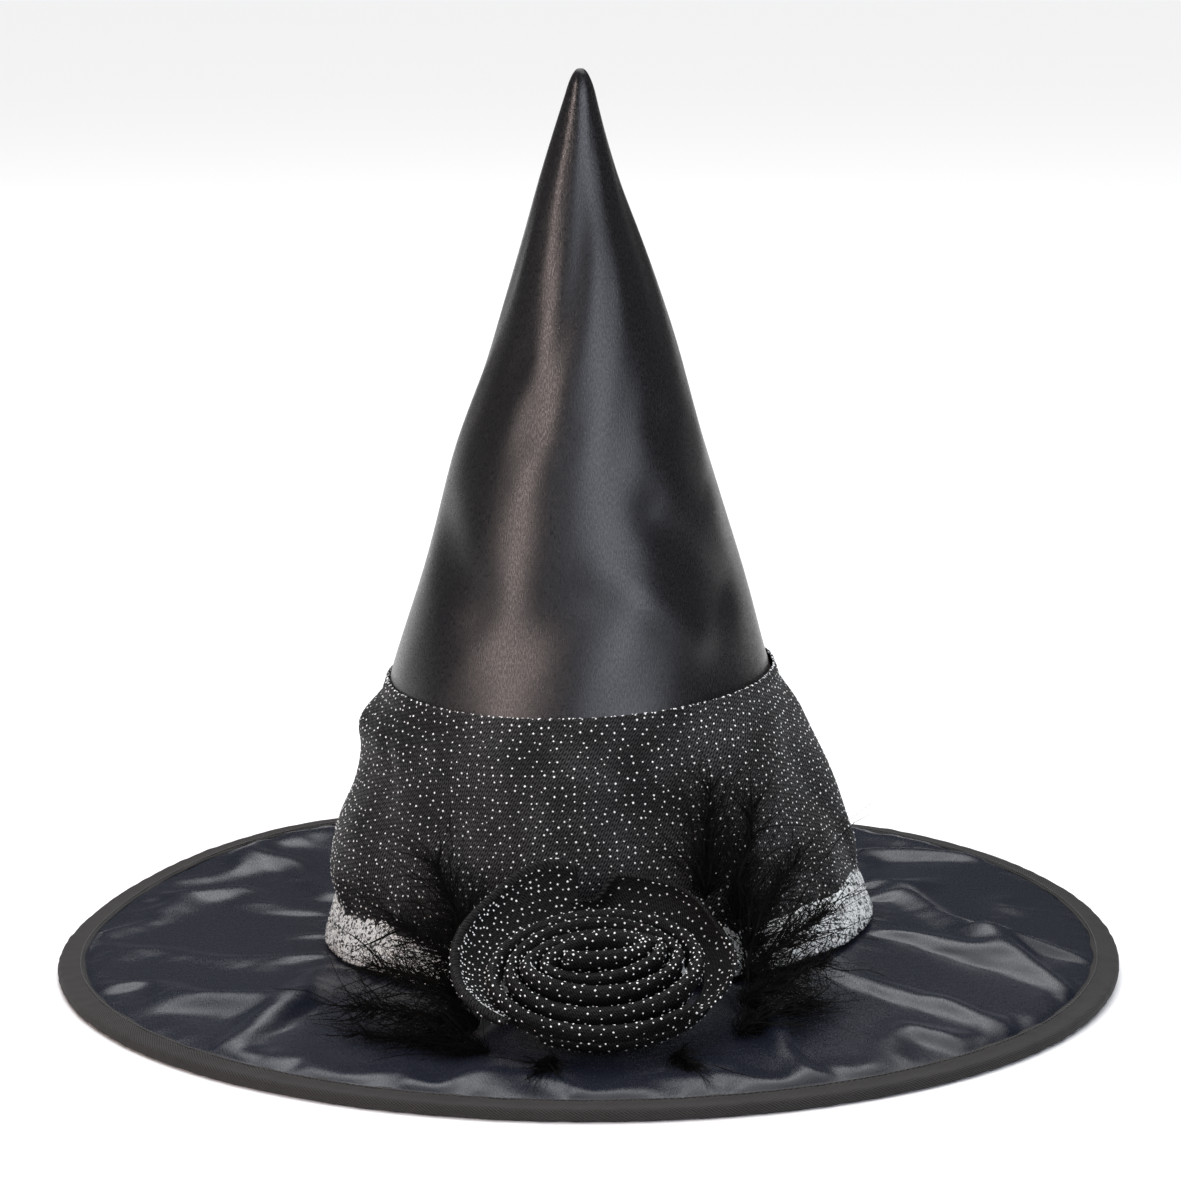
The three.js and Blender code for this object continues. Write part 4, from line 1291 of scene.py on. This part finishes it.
def barbs_of(quill, seed, count, longest, stiff):
    """Soft barbs that leave the quill all round and curl as they go."""
    draw = np.random.default_rng(seed)
    share = draw.uniform(0, 1, count) ** 2.2
    at = share * (len(quill) - 1)
    low = np.minimum(at.astype(int), len(quill) - 2)
    start = quill[low] + (at - low)[:, None] * (quill[low + 1] - quill[low])
    forward = quill[low + 1] - quill[low]
    forward /= np.linalg.norm(forward, axis=-1, keepdims=True)
    heading = forward * draw.uniform(0.5, 2.4, (count, 1)) + square_to(forward, draw)
    heading /= np.linalg.norm(heading, axis=-1, keepdims=True)
    curl = draw.normal(0, 0.5 / stiff, (count, 3)) + forward * 0.35
    curl[:, 2] -= 0.15
    reach = longest * draw.uniform(0.3, 1.15, count) * (1 - 0.4 * share)
    t = np.linspace(0, 1, 9)[None, :, None]
    points = heading[:, None] * t + curl[:, None] * t ** 2 * 0.6
    wiggle = draw.normal(0, 0.035, (count, 1, 3))
    points = points + wiggle * np.sin(t * math.pi * draw.uniform(1.5, 3.5, (count, 1, 1)))
    points = start[:, None] + reach[:, None, None] * points
    thin = draw.uniform(0.13, 0.24, count)[:, None] * (1 - 0.7 * t[..., 0]) * MM
    return keep_clear(points), thin


def barbules_of(barbs, seed, per_barb, longest):
    """Short fluff along the barbs, each a straight hair."""
    draw = np.random.default_rng(seed)
    count = len(barbs) * per_barb
    which = np.repeat(np.arange(len(barbs)), per_barb)
    at = draw.uniform(0.3, barbs.shape[1] - 1.01, count)
    low = at.astype(int)
    start = barbs[which, low]
    run = barbs[which, low + 1] - start
    start = start + (at - low)[:, None] * run
    run /= np.linalg.norm(run, axis=-1, keepdims=True) + 1e-12
    way = 0.6 * run + square_to(run, draw)
    reach = longest * draw.uniform(0.4, 1, (count, 1))
    routes = np.stack([start, start + way * reach * 0.6, start + way * reach], axis=1)
    routes[:, 2, 2] -= 0.12 * reach[:, 0]
    thin = np.full((count, 3), 0.075 * MM) * [1, 0.8, 0.35]
    return routes, thin


def marabou(sizes, colours):
    finish = down("Marabou", colours.feathers)
    nodes = sorted(name for name in frame["nodes"] if name.startswith("feather_"))
    for index, node in enumerate(nodes):
        quill = quill_of(node)
        front = "front" in node
        small = 0.45 if front else 1.0
        longest = sizes.barb_length * small
        count = sizes.barbs * small * (0.6 if node in ("feather_left_1", "feather_right_1") else 1)
        bearing = quill[:len(quill) // 2] if front else quill
        short, thin = barbs_of(bearing, 200 + index, round(count), longest * 0.62, 1.0)
        wisps, wisp_thin = barbs_of(bearing, 220 + index, round(count * 0.22), longest * 1.15,
                                    1.4)
        stem = quill[np.linspace(0, len(quill) - 1, short.shape[1]).round().astype(int)]
        routes = np.concatenate([short, wisps, stem[None]])
        radii = np.concatenate([thin, wisp_thin * 1.7,
                                np.linspace(0.45, 0.15, short.shape[1])[None] * MM])
        made = tubes_piece(f"{node}_down", routes, radii, 3, finish)
        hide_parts(node)
        fluff, fluff_thin = barbules_of(np.concatenate([short[::2], wisps]), 240 + index, 9,
                                        2.3 * MM)
        made = tubes_piece(f"{node}_fluff", fluff, fluff_thin, 3, finish)


def stray_barbs(sizes):
    """Loose single barbs that have come away onto the brim."""
    finish = bpy.data.materials["Marabou"]
    lines = (((70, -74), (81, -90), (90, -109)), ((-62, -96), (-84, -104), (-96, -118)),
             ((40, -164), (46, -170), (56, -171)))
    routes = []
    for line in lines:
        a, b, c = (np.array(spot) * MM for spot in line)
        share = np.linspace(0, 1, 12)[:, None]
        flat = (1 - share) ** 2 * a + 2 * share * (1 - share) * b + share ** 2 * c
        z = brim.top(flat[:, 0], flat[:, 1]) + sizes.folds * 0.9
        routes.append(np.column_stack([flat, z]))
    routes = np.array(routes)
    radii = np.full(routes.shape[:2], 0.2 * MM) * np.linspace(1, 0.4, 12)
    made = tubes_piece("stray_barbs", routes, radii, 4, finish)


def hidden_parts(colours):
    nodes = frame["nodes"]
    nodes["brim_stiffener"].data.materials[0] = felt("Brim stiffener", colours.lining)
    nodes["brim_wire"].data.materials[0] = drawn_wire("Brim wire")
    nodes["wire_joiner"].data.materials[0] = drawn_wire("Wire joiner")


# ---- Stage ----------------------------------------------------------------------------------

def lamp(name, place, aim, size, power, rgb):
    light = bpy.data.lights.new(name, "AREA")
    light.shape = "RECTANGLE"
    light.size, light.size_y = size
    light.energy = power
    light.color = rgb
    made = bpy.data.objects.new(name, light)
    made.location = place
    way = Vector(aim) - Vector(place)
    made.rotation_euler = way.to_track_quat("-Z", "Y").to_euler()
    bpy.context.scene.collection.objects.link(made)


def stage():
    scene = bpy.context.scene
    mesh = bpy.data.meshes.new("floor")
    half = 30
    mesh.from_pydata([(-half, -half, 0), (half, -half, 0), (half, half, 0), (-half, half, 0)],
                     [], [(0, 1, 2, 3)])
    floor = bpy.data.objects.new("floor", mesh)
    floor.location.z = -0.2 * MM
    paper = Finish("Pale floor", (0.96, 0.96, 0.96), 0.9)
    mesh.materials.append(paper.material)
    scene.collection.objects.link(floor)

    lamp("left_window", (-1.75, -1.45, 0.95), (0, 0, 0.16), (0.24, 1.5), 29, (1, 0.82, 0.77))
    lamp("right_window", (0.85, -2.0, 1.1), (0, 0, 0.16), (1.9, 1.1), 27, (0.84, 0.88, 1))
    lamp("back_window", (-0.5, 1.3, 2.1), (0, 0, 0.05), (2.2, 1.4), 24, (0.92, 0.95, 1))
    sky = bpy.data.lights.new("sky", "SUN")
    sky.energy = 2.9
    sky.angle = math.radians(70)
    made = bpy.data.objects.new("sky", sky)
    made.rotation_euler = (math.radians(-12), math.radians(6), 0)
    scene.collection.objects.link(made)

    world = bpy.data.worlds.new("Studio")
    world.use_nodes = True
    world.node_tree.nodes["Background"].inputs["Color"].default_value = (0.8, 0.82, 0.85, 1)
    world.node_tree.nodes["Background"].inputs["Strength"].default_value = 0.07
    scene.world = world
    scene.view_settings.view_transform = "Standard"

    camera = bpy.data.cameras.new("camera")
    camera.lens = 127.4
    camera.sensor_width = 36
    camera.clip_end = 100
    made = bpy.data.objects.new("camera", camera)
    made.location = (0.0007, -1.4419, 0.4090)
    made.rotation_euler = (math.radians(79.2), 0, 0)
    scene.collection.objects.link(made)
    scene.camera = made


# ---- The add-on -----------------------------------------------------------------------------

class HAT_OT_stage(bpy.types.Operator):
    """Makes the floor, the lights and the camera"""

    bl_idname = "hat.stage"
    bl_label = "Stage"

    def execute(self, context):
        stage()
        return {"FINISHED"}


class HAT_OT_crown_lining(bpy.types.Operator):
    """Makes the stiff cone and its tapes"""

    bl_idname = "hat.crown_lining"
    bl_label = "Crown lining"

    def execute(self, context):
        scene = context.scene
        crown_lining(scene.hat_sizes, scene.hat_colours)
        return {"FINISHED"}


class HAT_OT_crown_satin(bpy.types.Operator):
    """Makes the satin cone"""

    bl_idname = "hat.crown_satin"
    bl_label = "Crown satin"

    def execute(self, context):
        scene = context.scene
        crown_satin(scene.hat_sizes, scene.hat_colours)
        return {"FINISHED"}


class HAT_OT_brim_top(bpy.types.Operator):
    """Makes the loose satin on the brim"""

    bl_idname = "hat.brim_top"
    bl_label = "Brim satin"

    def execute(self, context):
        scene = context.scene
        brim_top(scene.hat_sizes, scene.hat_colours)
        return {"FINISHED"}


class HAT_OT_brim_under(bpy.types.Operator):
    """Makes the satin under the brim"""

    bl_idname = "hat.brim_under"
    bl_label = "Under satin"

    def execute(self, context):
        scene = context.scene
        brim_under(scene.hat_colours)
        return {"FINISHED"}


class HAT_OT_binding_stitches(bpy.types.Operator):
    """Sews the binding down"""

    bl_idname = "hat.binding_stitches"
    bl_label = "Stitches"

    def execute(self, context):
        scene = context.scene
        binding_stitches(scene.hat_sizes, scene.hat_colours)
        return {"FINISHED"}


class HAT_OT_brim_binding(bpy.types.Operator):
    """Makes the twill tape round the edge"""

    bl_idname = "hat.brim_binding"
    bl_label = "Binding"

    def execute(self, context):
        scene = context.scene
        brim_binding(scene.hat_colours)
        return {"FINISHED"}


class HAT_OT_glitter_wrap(bpy.types.Operator):
    """Makes the net wrap and its glitter"""

    bl_idname = "hat.glitter_wrap"
    bl_label = "Net wrap"

    def execute(self, context):
        scene = context.scene
        glitter_wrap(scene.hat_sizes, scene.hat_colours)
        return {"FINISHED"}


class HAT_OT_silver_ribbon(bpy.types.Operator):
    """Makes the crumpled ribbon"""

    bl_idname = "hat.silver_ribbon"
    bl_label = "Silver ribbon"

    def execute(self, context):
        scene = context.scene
        silver_ribbon(scene.hat_sizes, scene.hat_colours)
        return {"FINISHED"}


class HAT_OT_rosette(bpy.types.Operator):
    """Rolls the net rosette and its petals"""

    bl_idname = "hat.rosette"
    bl_label = "Rosette"

    def execute(self, context):
        scene = context.scene
        rosette(scene.hat_sizes, scene.hat_colours)
        return {"FINISHED"}


class HAT_OT_marabou(bpy.types.Operator):
    """Makes the marabou feathers"""

    bl_idname = "hat.marabou"
    bl_label = "Feathers"

    def execute(self, context):
        scene = context.scene
        marabou(scene.hat_sizes, scene.hat_colours)
        return {"FINISHED"}


class HAT_OT_stray_barbs(bpy.types.Operator):
    """Drops loose barbs on the brim"""

    bl_idname = "hat.stray_barbs"
    bl_label = "Stray barbs"

    def execute(self, context):
        scene = context.scene
        stray_barbs(scene.hat_sizes)
        return {"FINISHED"}


class HAT_OT_hidden_parts(bpy.types.Operator):
    """Finishes what is sewn inside"""

    bl_idname = "hat.hidden_parts"
    bl_label = "Hidden parts"

    def execute(self, context):
        scene = context.scene
        hidden_parts(scene.hat_colours)
        return {"FINISHED"}


STEPS = (
    HAT_OT_stage,
    HAT_OT_crown_lining,
    HAT_OT_crown_satin,
    HAT_OT_brim_top,
    HAT_OT_brim_under,
    HAT_OT_binding_stitches,
    HAT_OT_brim_binding,
    HAT_OT_glitter_wrap,
    HAT_OT_silver_ribbon,
    HAT_OT_rosette,
    HAT_OT_marabou,
    HAT_OT_stray_barbs,
    HAT_OT_hidden_parts,
)


class HAT_PT_maker(bpy.types.Panel):
    """Lists the hat's sizes, colours and pieces"""

    bl_label = "Witch Hat"
    bl_space_type = "VIEW_3D"
    bl_region_type = "UI"
    bl_category = "Hat"

    def draw(self, context):
        for group in (context.scene.hat_sizes, context.scene.hat_colours):
            for name in group.__annotations__:
                self.layout.prop(group, name)
        for made in STEPS:
            self.layout.operator(made.bl_idname)


CLASSES = (HatSizes, HatColours, *STEPS, HAT_PT_maker)


def register():
    for one in CLASSES:
        bpy.utils.register_class(one)
    bpy.types.Scene.hat_sizes = PointerProperty(type=HatSizes)
    bpy.types.Scene.hat_colours = PointerProperty(type=HatColours)


def unregister():
    del bpy.types.Scene.hat_colours
    del bpy.types.Scene.hat_sizes
    for one in reversed(CLASSES):
        bpy.utils.unregister_class(one)


def main():
    register()
    for made in STEPS:
        getattr(bpy.ops.hat, made.bl_idname.removeprefix("hat."))()


if __name__ == "__main__":
    main()
